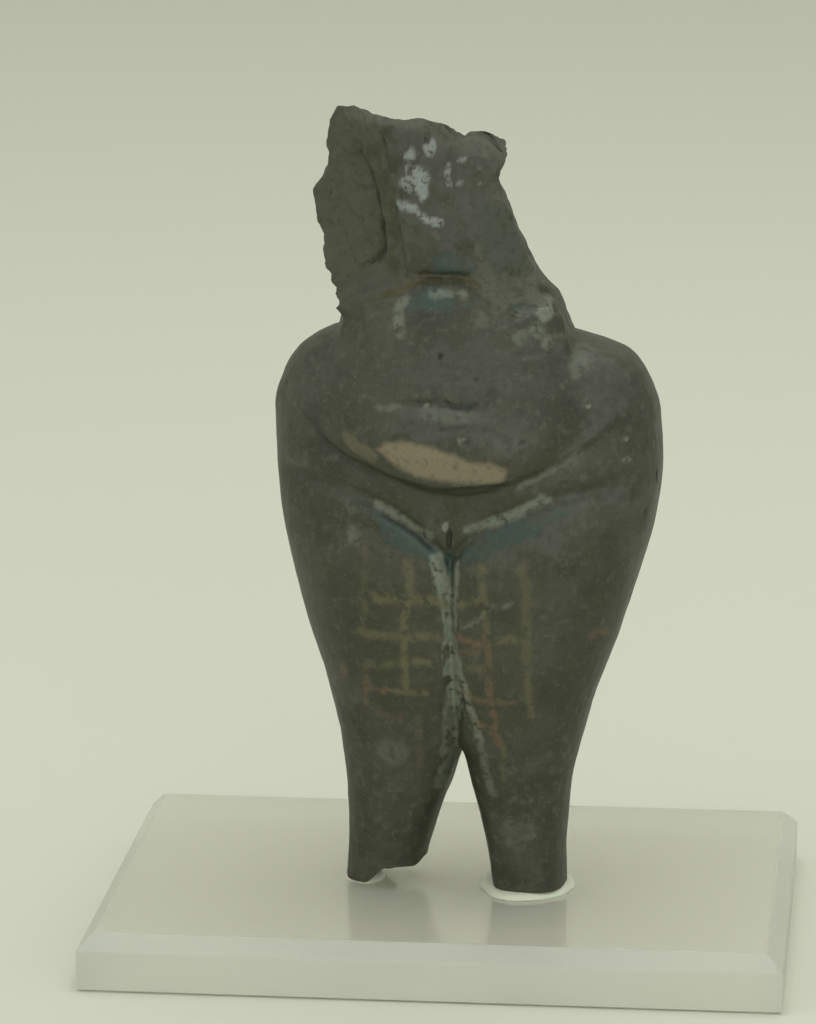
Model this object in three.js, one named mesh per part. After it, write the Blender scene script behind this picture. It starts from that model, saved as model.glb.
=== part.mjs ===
// A broken terracotta mother goddess figurine that stands on two wax pads on a clear display base.
// Millimetres, +Z up. The origin is the centre of the base's underside, and the figure looks towards -Y.
import * as THREE from "three";

// Driving sizes
const FIGURE_HEIGHT = 114; // from the flat stump's underside to the top of the break
const DRAWN_HEIGHT = 114; // the height at which the figure's own sizes below are drawn
const FIGURE_X = 2.5;
const FIGURE_Y = -6;
const FIGURE_TURN = THREE.MathUtils.degToRad(-6); // it was set down facing slightly to one side
const BASE_WIDTH = 100;
const BASE_DEPTH = 74;
const BASE_THICK = 8;
const BASE_BEVEL = 2.2;
const PAD_THICK = 1; // wax under a stump
// Plan of each pad. The left stump touches its wax with its low corner alone.
const RIGHT_PAD = { middle: [9, 0.3], half: [7.3, 8.1] };
const LEFT_PAD = { middle: [-14.7, 0.2], half: [3, 4.4] };
const PAD_SLOPE = 1.3; // how far the pad's side leans inwards
// The pad's side: share of the slope inwards, and share of its thickness upwards
const PAD_PROFILE = [[0, 0], [0, 0.25], [0.25, 0.6], [0.6, 0.88], [1, 1]];

// Mesh fineness
const FRONT_COLUMNS = 42; // over the front half of the body, and as many again would close the circle
const BACK_COLUMNS = 18;
const CROTCH_COLUMNS = 6; // across the underside of the join between the legs, front to back
const LEG_ROWS = 11;
const CHEST_ROWS = 13;
const BREAK_RINGS = 5;
const PAD_COLUMNS = 28;
// The body's rows up to the waist: each run ends at a height and has a number of rows.
const LEGS_START = 23;
const BODY_RUNS = [
  [50, 16],
  [61.4, 9],
  [74, 9],
  [84, 9],
];

// Left and right leg with its hip, as one rounded column each. Columns of the table: height,
// outer edge left and right, inner edge left and right (they cross the middle where the thighs join),
// front depth, back depth.
const LEGS = [
  [0, -17.1, 15.0, -6.4, 4.7, 6.2, 5.4],
  [5, -16.9, 14.9, -5.2, 3.9, 6.4, 5.8],
  [10, -16.9, 15.2, -3.6, 2.7, 6.8, 6.4],
  [15, -17.2, 15.6, -1.7, 1.3, 7.3, 7.2],
  [19.3, -17.8, 16.5, -0.3, 0.2, 8.0, 8.2],
  [24, -18.6, 17.8, 2.7, -2.7, 9.0, 9.6],
  [30, -20.1, 19.5, 5.6, -5.6, 10.3, 11.4],
  [38, -22.7, 22.4, 8.2, -8.2, 11.7, 14.0],
  [47, -25.1, 25.3, 10.4, -10.4, 12.9, 16.4],
  [56, -26.8, 27.6, 10.5, -10.5, 13.6, 18.0],
  [63, -27.3, 28.3, 9.8, -9.8, 13.5, 18.4],
  [70, -27.6, 27.9, 8.0, -8.0, 12.4, 17.4],
  [75, -26.3, 26.3, 5.0, -5.0, 10.8, 15.2],
  [78.5, -24.1, 23.8, 0, 0, 8.8, 12.4],
  [80.8, -20.6, 17.2, -6, 6, 6.2, 8.6],
  [82, -17.0, 13.0, -10.5, 9.0, 3.6, 5.0],
  [82.8, -14.5, 12.2, -12.5, 11, 1.0, 1.4],
];
const LEG_POWER = [[0, 3], [20, 2.3]]; // how square the section is: 2 would be an ellipse
const THIGHS_MERGE = 0.8; // softness of the join between the two

// The belly: height over the lap crease, middle, half width, front depth, back depth
const BELLY = [
  [57.5, 1, 4, 9, 5],
  [60.2, 1, 12, 12.8, 8],
  [61.2, 1, 16.5, 14.9, 10],
  [62.8, 0.9, 19, 16.3, 11],
  [67, 0.4, 20.6, 16.9, 12],
  [71, 0, 20.4, 16.7, 12],
  [75, -0.5, 19.2, 15.8, 12],
  [79, -0.9, 17.6, 14.5, 11],
  [83, -1.4, 16.3, 12.9, 10],
  [87, -1.9, 15.2, 11.3, 9],
  [88.8, -2.6, 14, 10.4, 8.4],
  [89.8, -3, 13.4, 9.5, 8],
  [90.6, -3, 13, 8.2, 7.6],
  [91.3, -3, 11.6, 6, 7],
];
const BELLY_POWER = 2.7;
const BELLY_MERGE = 1.1;

// The chest is what is left between flat breaks. It is a wedge of faces round an upright line.
const CHEST_X = -5;
const CHEST_FRONT = 8.3;
const CHEST_BACK = 7.6;
const CHEST_LOW = 78;
const CHEST_MERGE = 0.7; // where it grows out of the hips
const CHEST_EDGE = 0.4; // softness of the edge between two faces
// Each face: the way it looks, in degrees from the front, how rough it is, and its distance from the line
// by height
// The two breaks where the arms were
const LEFT_BREAK = {
  look: -36,
  rough: 0.5,
  out: [[83, 17], [85, 14], [87, 11], [89, 8.8], [91, 7.9], [95, 7.6], [98, 8], [102.5, 8.7], [108, 9.5],
    [112, 10.3]],
};
const RIGHT_BREAK = {
  look: 35,
  rough: 0.2,
  out: [[81, 17.4], [84, 15.6], [87, 13.7], [91, 11.3], [98, 11.9], [105.6, 13.1]],
};
const CHEST_FACES = [
  { look: 0, out: [[78, CHEST_FRONT]] },
  { look: 180, out: [[78, CHEST_BACK]] },
  { look: -142, out: [[84, 12.6], [100, 14], [113, 12]] },
  { look: 142, out: [[84, 15.6], [100, 11.6], [113, 10.8]] },
  {
    look: -100,
    rough: 0.35,
    out: [[80, 9.5], [84, 9.8], [86, 11.4], [88, 13.9], [90, 16.2], [92, 17.1], [95, 17.4], [98.5, 18.8],
      [101.5, 17.3], [104, 15.6], [107, 15], [110.5, 14.6], [114, 13]],
  },
  {
    look: 102,
    rough: 0.25,
    out: [[80, 19.6], [84, 18.7], [88, 16.7], [92, 14.2], [96, 12.5], [100, 10.8], [103.5, 9.3], [105.5, 9.6],
      [107.6, 10.6], [109, 9.6], [112, 8.6]],
  },
];
// The left break starts at a height, and the right one at a line that rises to the right and leaves a ledge.
const LEFT_BREAK_LOW = 84;
const LEDGE = { left: 3.9, low: 83.4, rise: 0.42, proud: 1.1, slope: 0.8 };
// Height of the break at the neck, from left to right. It falls towards the back.
const NECK_BREAK = [[-20, 109.8], [-17.8, 112.6], [-15.4, 112.7], [-13.7, 111.8], [-10, 110.7], [-4, 110.6],
  [-2, 110.3], [-1, 109.1], [0.6, 108.8], [1.6, 109.7], [4.4, 109.5], [6, 107.8], [8, 106.5]];
const NECK_FALL = 0.27;
// Above this line, from left to right, the front of the neck is chipped and leans backwards.
const CHIP_LINE = [[-9, 112], [-5, 111.2], [-3.8, 110.6], [-2.1, 109.3], [1, 108.3], [4.3, 107.9], [8, 108.2]];
const CHIP_LEAN = 1.5;

// Carving. Lines on the front are heights over the distance x from the middle. A span has the heights
// between which a feature starts and those between which it ends.
const LAP = { low: 61.4, middle: 1.3, left: 0.0165, right: 0.0195 };
const LAP_STEP = 0.9; // the belly overhangs the lap by this much more than its own form does
const GROIN = { low: 50, rise: 12.6, reach: 9, depth: 0.9, width: 1.3 };
const MIDLINE = { span: [[22, 26], [50, 53]], depth: 0.8, width: 0.8 };
const NAVEL = { middle: -1.3, reach: 6.4, low: 73.4, arch: 0.3, depth: 0.6, width: 0.6 };
const NAVEL_LIP = { middle: -1.3, reach: 6, low: 71.9, arch: 0.2, depth: -0.35, width: 1.2 };
const BREAST_LINE = { middle: -1.6, reach: 5, low: 89.1, arch: 1.3, depth: 1, width: 0.7 };
// The hollow in the left break: deepest at its right edge, which is given by height, and none at its reach
const HOLLOW = {
  edge: [[91, -11.4], [93, -10.6], [96.3, -10.8], [100, -11.4], [104, -12.4], [106.2, -13.5], [108.3, -14.8]],
  span: [[91.4, 92.4], [106, 108]],
  step: [-0.2, 0.4],
  reach: 6,
  depth: 1.6,
};
const CLEFT = { span: [[34, 48], [66, 78]], depth: 2, width: 2 };
const FLANK = [22, 27]; // the lap's and the groin's lines end between these distances from the middle

// The left stump is broken off in a step: its low corner, then a higher middle.
const STUMP = { step: 2.3, from: -13.4, to: -10.3, tip: 1.2, tipFrom: -6.6 };

const smooth = THREE.MathUtils.smoothstep;
const mix = THREE.MathUtils.lerp;
const range = (count, from, to) =>
  Array.from({ length: count }, (_, i) => mix(from, to, i / (count - 1)));

// Smooth curve through rows of [position, value, value ...], whose slopes never overshoot a row
function curveThrough(rows, column = 1) {
  const t = rows.map((row) => row[0]);
  const v = rows.map((row) => row[column]);
  const slope = v.slice(1).map((next, i) => (next - v[i]) / (t[i + 1] - t[i]));
  const tangent = v.map((_, i) => {
    const before = slope[Math.max(i - 1, 0)];
    const after = slope[Math.min(i, slope.length - 1)];
    return before * after > 0 ? (2 * before * after) / (before + after) : 0;
  });
  return (at) => {
    const x = THREE.MathUtils.clamp(at, t[0], t.at(-1));
    const i = Math.max(0, Math.min(t.findIndex((next) => next > x) - 1, t.length - 2));
    if (x >= t.at(-1)) return v.at(-1);
    const step = t[i + 1] - t[i];
    const s = (x - t[i]) / step;
    return (
      v[i] * (1 + 2 * s) * (1 - s) ** 2 +
      tangent[i] * step * s * (1 - s) ** 2 +
      v[i + 1] * s * s * (3 - 2 * s) +
      tangent[i + 1] * step * s * s * (s - 1)
    );
  };
}

const leg = {
  outer: [curveThrough(LEGS, 1), curveThrough(LEGS, 2)],
  inner: [curveThrough(LEGS, 3), curveThrough(LEGS, 4)],
  front: curveThrough(LEGS, 5),
  back: curveThrough(LEGS, 6),
  power: curveThrough(LEG_POWER),
};
const bellyCurve = [1, 2, 3, 4].map((column) => curveThrough(BELLY, column));
// Makes a function that tells how far a point is beyond a flat face.
function faceOf({ look, rough = 0, out }) {
  const a = THREE.MathUtils.degToRad(look);
  const distance = curveThrough(out);
  return (x, y, z) =>
    (x - CHEST_X) * Math.sin(a) - y * Math.cos(a) - distance(z) - rough * crumble(x, y, z);
}
const chestFaces = CHEST_FACES.map(faceOf);
const leftBreak = faceOf(LEFT_BREAK);
const rightBreak = faceOf(RIGHT_BREAK);
const neckBreak = curveThrough(NECK_BREAK);
const chipLine = curveThrough(CHIP_LINE);
const hollowEdge = curveThrough(HOLLOW.edge);

// The lesser of two distances, with the corner between them rounded
const blend = (a, b, softness) => {
  const h = Math.max(softness - Math.abs(a - b), 0) / softness;
  return Math.min(a, b) - (h * h * softness) / 4;
};
const hill = (distance, width) => Math.exp(-((distance / width) ** 2));
const within = (z, [from, to]) => smooth(z, ...from) * (1 - smooth(z, ...to));

// Unevenness of a broken surface, between -1 and 1
const crumble = (x, y, z) =>
  0.5 * Math.sin(0.95 * x + 0.5 * z + 0.4) * Math.sin(0.8 * z - 0.5 * y + 1) +
  0.3 * Math.sin(1.5 * z + 1.1 * y - 0.8 * x) +
  0.2 * Math.sin(2.2 * x - 1.9 * y + 2.1 * z + 1.2);

// How far a point is outside a rounded section, measured away from the section's middle
function sectionDistance(x, y, middle, half, front, back, power) {
  const dx = x - middle;
  const size =
    (Math.abs(dx / half) ** power + Math.abs(y / (y < 0 ? front : back)) ** power) ** (1 / power);
  return Math.hypot(dx, y) * (1 - 1 / Math.max(size, 1e-6));
}

const FAR = 60; // a distance for what isn't there at that height
const WIDEST = 48; // how far out a surface is looked for
function legDistance(x, y, z, side) {
  if (z > LEGS.at(-1)[0]) return FAR;
  const outer = leg.outer[side](z);
  const inner = leg.inner[side](z);
  const half = Math.abs(outer - inner) / 2;
  return sectionDistance(x, y, (outer + inner) / 2, half, leg.front(z), leg.back(z), leg.power(z));
}

const lapRise = (x) => (x - LAP.middle) ** 2 * (x < LAP.middle ? LAP.left : LAP.right);
const groinRise = (x) => GROIN.rise * (1 - Math.exp(-Math.abs(x) / GROIN.reach));
const frontness = (y) => smooth(-y, -1, 5);

function bellyDistance(x, y, z) {
  const over = z - lapRise(x) * frontness(y) * (1 - smooth(z, 68, 84));
  if (over < BELLY[0][0] || over > BELLY.at(-1)[0]) return FAR;
  const [middle, half, front, back] = bellyCurve.map((curve) => curve(over));
  return sectionDistance(x, y, middle, half, front, back, BELLY_POWER);
}

// The greatest of several distances, with the edges between them rounded
const edged = (distances) =>
  CHEST_EDGE * Math.log(distances.reduce((sum, d) => sum + Math.exp(d / CHEST_EDGE), 0));
const chestDistance = (x, y, z) =>
  z < CHEST_LOW ? FAR : edged(chestFaces.map((face) => face(x, y, z)));
const ledgeLine = (x) => LEDGE.low + LEDGE.rise * (x - LEDGE.left);

// The two breaks and the chip at the neck take away what stands beyond them, chest and belly alike.
function breakDistances(x, y, z) {
  const leftOff = FAR * (1 - smooth(z, LEFT_BREAK_LOW - 2, LEFT_BREAK_LOW + 2));
  const rightOff = FAR * (1 - smooth(z, LEDGE.low - 6, LEDGE.low - 3));
  const ledge = LEDGE.proud * (1 - smooth(z - ledgeLine(x), -LEDGE.slope, LEDGE.slope));
  const chip = -y - CHEST_FRONT + CHIP_LEAN * (z - chipLine(x));
  return [leftBreak(x, y, z) - leftOff, rightBreak(x, y, z) - rightOff - ledge, chip];
}

// A short fold across the front
const fold = (line, x, z) =>
  line.depth *
  hill(z - line.low - line.arch * (1 - ((x - line.middle) / line.reach) ** 4), line.width) *
  Math.exp(-(((x - line.middle) / line.reach) ** 4));

// How far the carving takes the surface in, as a function of where one looks at it
function frontCarving(x, z) {
  const groin = GROIN.depth * hill(z - GROIN.low - groinRise(x), GROIN.width);
  const midline = MIDLINE.depth * hill(x, MIDLINE.width) * within(z, MIDLINE.span);
  const overhang = LAP_STEP * smooth(z - LAP.low - lapRise(x), -0.5, 0.5) * (1 - smooth(z, 66, 80));
  const inHollow = hollowEdge(z) - x;
  const hollow =
    HOLLOW.depth * smooth(inHollow, ...HOLLOW.step) *
    (1 - smooth(inHollow, HOLLOW.step[1], HOLLOW.reach)) * within(z, HOLLOW.span);
  const folds = [NAVEL, NAVEL_LIP, BREAST_LINE].reduce((sum, line) => sum + fold(line, x, z), 0);
  const onFront = 1 - smooth(Math.abs(x), ...FLANK);
  return (groin - overhang) * onFront + midline + hollow + folds;
}
const backCarving = (x, z) => CLEFT.depth * hill(x, CLEFT.width) * within(z, CLEFT.span);

// Negative inside the clay and positive outside it
function clayDistance(x, y, z) {
  const thighs = blend(legDistance(x, y, z, 0), legDistance(x, y, z, 1), THIGHS_MERGE);
  const lower = blend(thighs, bellyDistance(x, y, z), BELLY_MERGE);
  const whole = blend(lower, chestDistance(x, y, z), CHEST_MERGE);
  const form = z < LEFT_BREAK_LOW - 4 ? whole : edged([whole, ...breakDistances(x, y, z)]);
  return form + frontCarving(x, z) * frontness(y) + backCarving(x, z) * smooth(y, 0, 6);
}

// Goes outwards from a middle in one direction of the plan, over a sheet that gives the height of
// each point, and returns the point where that path leaves the clay.
function surfacePoint(middleX, angle, sheet, limit = WIDEST) {
  const at = (r) => {
    const x = middleX + r * Math.sin(angle);
    const y = -r * Math.cos(angle);
    return new THREE.Vector3(x, y, sheet(x, y));
  };
  let inside = 0;
  let outside = limit;
  for (let i = 0; i < 26; i++) {
    const r = (inside + outside) / 2;
    const p = at(r);
    if (clayDistance(p.x, p.y, p.z) < 0) inside = r;
    else outside = r;
  }
  return at(inside);
}

// Directions round the body from the front over the right to the back, and the same mirrored
const rightAngles = [
  ...range(FRONT_COLUMNS / 2 + 1, 0, Math.PI / 2),
  ...range(BACK_COLUMNS / 2 + 1, Math.PI / 2, Math.PI).slice(1),
];
const bodyAngles = [...rightAngles, ...rightAngles.slice(1, -1).reverse().map((a) => -a)];
const HALF = rightAngles.length - 1; // the column at the middle of the back

// Rows of the body follow the groin lines and the lap crease.
function bodySheet(height) {
  const [groinHeight, lapHeight] = [BODY_RUNS[0][0], BODY_RUNS[1][0]];
  const byGroin = smooth(height, 30, groinHeight) * (1 - smooth(height, groinHeight, lapHeight));
  const byLap = smooth(height, groinHeight, lapHeight) * (1 - smooth(height, lapHeight, 80));
  return (x, y) => height + frontness(y) * (byGroin * groinRise(x) + byLap * lapRise(x));
}
const breakSheet = (x, y) => neckBreak(x) - NECK_FALL * y + 0.35 * crumble(1.3 * x, 1.3 * y, 3);
const waist = BODY_RUNS.at(-1)[0];
const middleOf = (height) => CHEST_X * smooth(height, 74, 86);

function bodyRings() {
  const heights = BODY_RUNS.reduce(
    (list, [end, rows]) => [...list, ...range(rows + 1, list.at(-1), end).slice(1)],
    [LEGS_START],
  );
  const ring = (middle, sheet) => bodyAngles.map((angle) => surfacePoint(middle, angle, sheet));
  const lower = heights.map((height) => ring(middleOf(height), bodySheet(height)));
  const upper = range(CHEST_ROWS + 1, 0, 1).slice(1).map((share) =>
    ring(CHEST_X, (x, y) => mix(waist, breakSheet(x, y), share)),
  );
  return [...lower, ...upper];
}

// Rings that shrink to a point over a sheet and so close a tube
function closingRings(ring, count, sheet) {
  const middle = ring.reduce((sum, p) => sum.add(p), new THREE.Vector3()).divideScalar(ring.length);
  const shrunk = range(count + 1, 1, 0).slice(1, -1).map((share) =>
    ring.map((p) => {
      const q = middle.clone().lerp(p, share);
      q.z = sheet(q.x, q.y);
      return q;
    }),
  );
  middle.z = sheet(middle.x, middle.y);
  return { shrunk, middle };
}

// The underside of the join between the legs, from the front of the body's first ring to its back
function crotchLine(front, back) {
  return range(CROTCH_COLUMNS + 1, front.y, back.y).slice(1, -1).map((y) => {
    let outside = LEGS[1][0];
    let inside = LEGS_START;
    for (let i = 0; i < 26; i++) {
      const z = (inside + outside) / 2;
      if (clayDistance(0, y, z) < 0) inside = z;
      else outside = z;
    }
    return new THREE.Vector3(0, y, inside);
  });
}

const legMiddle = (side, z) => (leg.outer[side](z) + leg.inner[side](z)) / 2;
const stumpSheet = [
  (x, y) =>
    STUMP.step * smooth(x, STUMP.from, STUMP.to) +
    STUMP.tip * smooth(x, STUMP.tipFrom, STUMP.tipFrom + 2) +
    0.2 * (1 + crumble(1.5 * x, 1.5 * y, 6)) * smooth(x, STUMP.from - 2, STUMP.to),
  () => 0,
];

// Rows of one leg from the body's first ring down to its break
function legRings(side, start) {
  const directions = start.map((p) => {
    const middle = legMiddle(side, p.z);
    return Math.atan2(p.x - middle, -p.y);
  });
  return range(LEG_ROWS + 1, 0, 1).slice(1).map((share) =>
    start.map((p, i) => {
      const sheet = (x, y) => mix(p.z, stumpSheet[side](x, y), share);
      const middle = legMiddle(side, mix(p.z, 0, share));
      const inwards = side ? -Math.sin(directions[i]) : Math.sin(directions[i]);
      const limit = inwards > 0.01 ? Math.abs(middle) / inwards : WIDEST;
      return surfacePoint(middle, directions[i], sheet, Math.min(limit, WIDEST));
    }),
  );
}

// Collects points and faces, each point under a number of its own.
class Skin {
  points = [];
  faces = [];
  add(point) {
    return this.points.push(point) - 1;
  }
  addRing(ring) {
    return ring.map((point) => this.add(point));
  }
  // lower and upper run anticlockwise seen from above
  join(lower, upper) {
    lower.forEach((a, i) => {
      const next = (i + 1) % lower.length;
      this.faces.push(a, lower[next], upper[next], a, upper[next], upper[i]);
    });
  }
  cap(ring, tip, upwards) {
    ring.forEach((a, i) => {
      const b = ring[(i + 1) % ring.length];
      this.faces.push(...(upwards ? [a, b, tip] : [b, a, tip]));
    });
  }
  geometry() {
    const shared = new THREE.BufferGeometry().setFromPoints(this.points).setIndex(this.faces);
    const flat = shared.toNonIndexed();
    flat.computeVertexNormals();
    return flat;
  }
}

function figureGeometry() {
  const skin = new Skin();
  const rings = bodyRings();
  const numbers = rings.map((ring) => skin.addRing(ring));
  for (let i = 1; i < rings.length; i++) skin.join(numbers[i - 1], numbers[i]);
  const top = closingRings(rings.at(-1), BREAK_RINGS, breakSheet);
  let edge = numbers.at(-1);
  for (const ring of top.shrunk) {
    const next = skin.addRing(ring);
    skin.join(edge, next);
    edge = next;
  }
  skin.cap(edge, skin.add(top.middle), true);

  const [first] = numbers;
  const crotch = crotchLine(rings[0][0], rings[0][HALF]);
  const crotchNumbers = skin.addRing(crotch);
  // A leg starts on its half of the body's first ring and on the line between the legs.
  const halves = [
    [...first.slice(HALF), first[0], ...crotchNumbers],
    [...first.slice(0, HALF + 1), ...[...crotchNumbers].reverse()],
  ];
  halves.forEach((start, side) => {
    let upper = start;
    const rows = legRings(side, start.map((n) => skin.points[n]));
    const end = closingRings(rows.at(-1), side ? 1 : 4, stumpSheet[side]);
    for (const ring of [...rows, ...end.shrunk]) {
      const lower = skin.addRing(ring);
      skin.join(lower, upper);
      upper = lower;
    }
    skin.cap(upper, skin.add(end.middle), false);
  });
  return skin.geometry();
}

// A block whose upper edges are bevelled
function baseGeometry() {
  const skin = new Skin();
  const corners = (inset, z) =>
    [[-1, -1], [1, -1], [1, 1], [-1, 1]].map(([sx, sy]) =>
      new THREE.Vector3(sx * (BASE_WIDTH / 2 - inset), sy * (BASE_DEPTH / 2 - inset), z));
  const [low, shoulder, top] = [
    corners(0, 0),
    corners(0, BASE_THICK - BASE_BEVEL),
    corners(BASE_BEVEL, BASE_THICK),
  ].map((ring) => skin.addRing(ring));
  skin.join(low, shoulder);
  skin.join(shoulder, top);
  skin.cap(low, skin.add(new THREE.Vector3(0, 0, 0)), false);
  skin.cap(top, skin.add(new THREE.Vector3(0, 0, BASE_THICK)), true);
  return skin.geometry();
}

// A low pad of wax with an uneven round outline, whose side slopes up from its foot to the stump
function padGeometry({ middle, half }, seed) {
  const skin = new Skin();
  const ring = (shrink, z) =>
    range(PAD_COLUMNS + 1, 0, 2 * Math.PI).slice(1).map((a) => {
      const wavy = 1 + 0.03 * Math.sin(3 * a + seed) + 0.02 * Math.sin(5 * a - seed);
      return new THREE.Vector3(
        middle[0] + (half[0] * wavy - shrink) * Math.cos(a),
        middle[1] + (half[1] * wavy - shrink) * Math.sin(a),
        z * PAD_THICK,
      );
    });
  const rings = PAD_PROFILE.map(([share, height]) => skin.addRing(ring(share * PAD_SLOPE, height - 1)));
  for (let i = 1; i < rings.length; i++) skin.join(rings[i - 1], rings[i]);
  skin.cap(rings[0], skin.add(new THREE.Vector3(...middle, -PAD_THICK)), false);
  skin.cap(rings.at(-1), skin.add(new THREE.Vector3(...middle, 0)), true);
  return skin.geometry();
}

function piece(name, geometry, colour, roughness, more = {}) {
  const material = new THREE.MeshStandardMaterial({ color: colour, roughness, metalness: 0, ...more });
  const mesh = new THREE.Mesh(geometry, material);
  mesh.name = name;
  return mesh;
}

const part = new THREE.Group();
part.add(
  piece("display_base", baseGeometry(), "#c7cbb3", 0.08, { transparent: true, opacity: 0.4 }),
);

const stand = new THREE.Group();
stand.position.set(FIGURE_X, FIGURE_Y, BASE_THICK + PAD_THICK);
stand.rotation.z = FIGURE_TURN;
const scale = FIGURE_HEIGHT / DRAWN_HEIGHT;
stand.add(
  piece("figurine", figureGeometry().scale(scale, scale, scale), "#4b4d40", 0.5),
  piece("pad_right", padGeometry(RIGHT_PAD, 1).scale(scale, scale, 1), "#cfd3c0", 0.45),
  piece("pad_left", padGeometry(LEFT_PAD, 4).scale(scale, scale, 1), "#cfd3c0", 0.45),
);
part.add(stand);
export default part;
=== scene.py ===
"""A broken terracotta mother goddess figurine on two wax pads and a clear bevelled base.

The clay is one closed skin round a distance function in the figure's own frame: millimetres, origin on the
underside of its flat stump, front towards -Y, up +Z. Marks on the clay are masks kept as point attributes,
which the clay's material reads."""

import math

import bpy
import numpy as np
from mathutils import Matrix, Vector


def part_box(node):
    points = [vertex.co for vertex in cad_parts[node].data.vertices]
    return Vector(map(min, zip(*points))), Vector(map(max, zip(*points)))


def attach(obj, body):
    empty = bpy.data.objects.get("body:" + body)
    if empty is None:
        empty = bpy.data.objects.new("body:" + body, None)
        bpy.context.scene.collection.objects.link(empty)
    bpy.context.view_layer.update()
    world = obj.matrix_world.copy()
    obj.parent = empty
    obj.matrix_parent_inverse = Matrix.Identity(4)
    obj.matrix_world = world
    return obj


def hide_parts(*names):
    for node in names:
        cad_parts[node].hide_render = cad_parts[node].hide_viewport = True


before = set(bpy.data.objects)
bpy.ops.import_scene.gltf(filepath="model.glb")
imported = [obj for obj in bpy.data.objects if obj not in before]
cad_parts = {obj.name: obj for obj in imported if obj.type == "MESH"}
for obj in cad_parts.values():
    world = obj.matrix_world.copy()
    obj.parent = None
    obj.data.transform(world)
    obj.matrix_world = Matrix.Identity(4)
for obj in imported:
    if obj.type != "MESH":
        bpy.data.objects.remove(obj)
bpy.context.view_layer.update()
MM = 0.001

# Where the figure stands on the base
FIGURE_PLACE = (2.5, -6.0, 9.0)
FIGURE_TURN = math.radians(-6)
BASE_LOW, BASE_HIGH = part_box("display_base")
BASE_BEVEL = 2.2
PAD_THICK = 1.0

# Legs: height, outer edge left and right, inner edge left and right, front depth, back depth
LEGS = [
    [0, -17.1, 15.0, -6.4, 4.7, 6.2, 5.4],
    [5, -16.9, 14.9, -5.2, 3.9, 6.4, 5.8],
    [10, -16.9, 15.2, -3.6, 2.7, 6.8, 6.4],
    [15, -17.2, 15.6, -1.7, 1.3, 7.3, 7.2],
    [19.3, -17.8, 16.5, -0.3, 0.2, 8.0, 8.2],
    [24, -18.6, 17.8, 2.7, -2.7, 9.0, 9.6],
    [30, -20.1, 19.5, 5.6, -5.6, 10.3, 11.4],
    [38, -22.7, 22.4, 8.2, -8.2, 11.7, 14.0],
    [47, -25.1, 25.3, 10.4, -10.4, 12.9, 16.4],
    [56, -26.8, 27.6, 10.5, -10.5, 13.6, 18.0],
    [63, -27.3, 28.3, 9.8, -9.8, 13.5, 18.4],
    [70, -27.6, 27.9, 8.0, -8.0, 12.4, 17.4],
    [75, -26.3, 26.3, 5.0, -5.0, 10.8, 15.2],
    [78.5, -24.1, 23.8, 0, 0, 8.8, 12.4],
    [80.8, -20.6, 17.2, -6, 6, 6.2, 8.6],
    [82, -17.0, 13.0, -10.5, 9.0, 3.6, 5.0],
    [82.8, -14.5, 12.2, -12.5, 11, 1.0, 1.4],
]
LEG_POWER = [[0, 3], [20, 2.3]]
THIGHS_MERGE = 0.8

# Belly: height over the lap crease, middle, half width, front depth, back depth
BELLY = [
    [57.5, 1, 4, 9, 5],
    [60.2, 1, 12, 12.8, 8],
    [61.2, 1, 16.5, 14.9, 10],
    [62.8, 0.9, 19, 16.3, 11],
    [67, 0.4, 20.6, 16.9, 12],
    [71, 0, 20.4, 16.7, 12],
    [75, -0.5, 19.2, 15.8, 12],
    [79, -0.9, 17.6, 14.5, 11],
    [83, -1.4, 16.3, 12.9, 10],
    [87, -1.9, 15.2, 11.3, 9],
    [88.8, -2.6, 14, 10.4, 8.4],
    [89.8, -3, 13.4, 9.5, 8],
    [90.6, -3, 13, 8.2, 7.6],
    [91.3, -3, 11.6, 6, 7],
]
BELLY_POWER = 2.7
BELLY_MERGE = 1.1
# Between these heights the belly's sections, which bend up with the lap crease, become level
BELLY_LEVEL = (68, 84)

# Chest: flat faces round an upright line, each with the way it looks in degrees from the front, how broken
# its surface is, and its distance from the line by height
CHEST_X = -5
CHEST_LOW = 78
CHEST_MERGE = 0.7
CHEST_EDGE = 0.4
LEFT_BREAK = (-36, 0.5, [[83, 17], [85, 14], [87, 11], [89, 8.8], [91, 7.9], [95, 7.6], [98, 8],
                         [102.5, 8.7], [108, 9.5], [112, 10.3]])
RIGHT_BREAK = (35, 0.2, [[81, 17.4], [84, 15.6], [87, 13.7], [91, 11.3], [98, 11.9], [105.6, 13.1]])
CHEST_FACES = [
    (0, 0, [[78, 8.3]]),
    (180, 0, [[78, 7.6]]),
    (-142, 0, [[84, 12.6], [100, 14], [113, 12]]),
    (142, 0, [[84, 15.6], [100, 11.6], [113, 10.8]]),
    (-100, 0.35, [[80, 9.5], [84, 9.8], [86, 11.4], [88, 13.9], [90, 16.2], [92, 17.1], [95, 17.4],
                  [98.5, 18.8], [101.5, 17.3], [104, 15.6], [107, 15], [110.5, 14.6], [114, 13]]),
    (102, 0.25, [[80, 19.6], [84, 18.7], [88, 16.7], [92, 14.2], [96, 12.5], [100, 10.8], [103.5, 9.3],
                 [105.5, 9.6], [107.6, 10.6], [109, 9.6], [112, 8.6]]),
]
LEFT_EDGE, RIGHT_EDGE = 4, 5
LEFT_BREAK_LOW, LEFT_BREAK_FADE = 84, 2
LEDGE_LEFT, LEDGE_LOW, LEDGE_RISE, LEDGE_PROUD, LEDGE_SLOPE = 3.9, 83.4, 0.42, 1.1, 0.8
RIGHT_BREAK_FOOT = (77.4, 80.4)
BREAKS_START = 80
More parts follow.
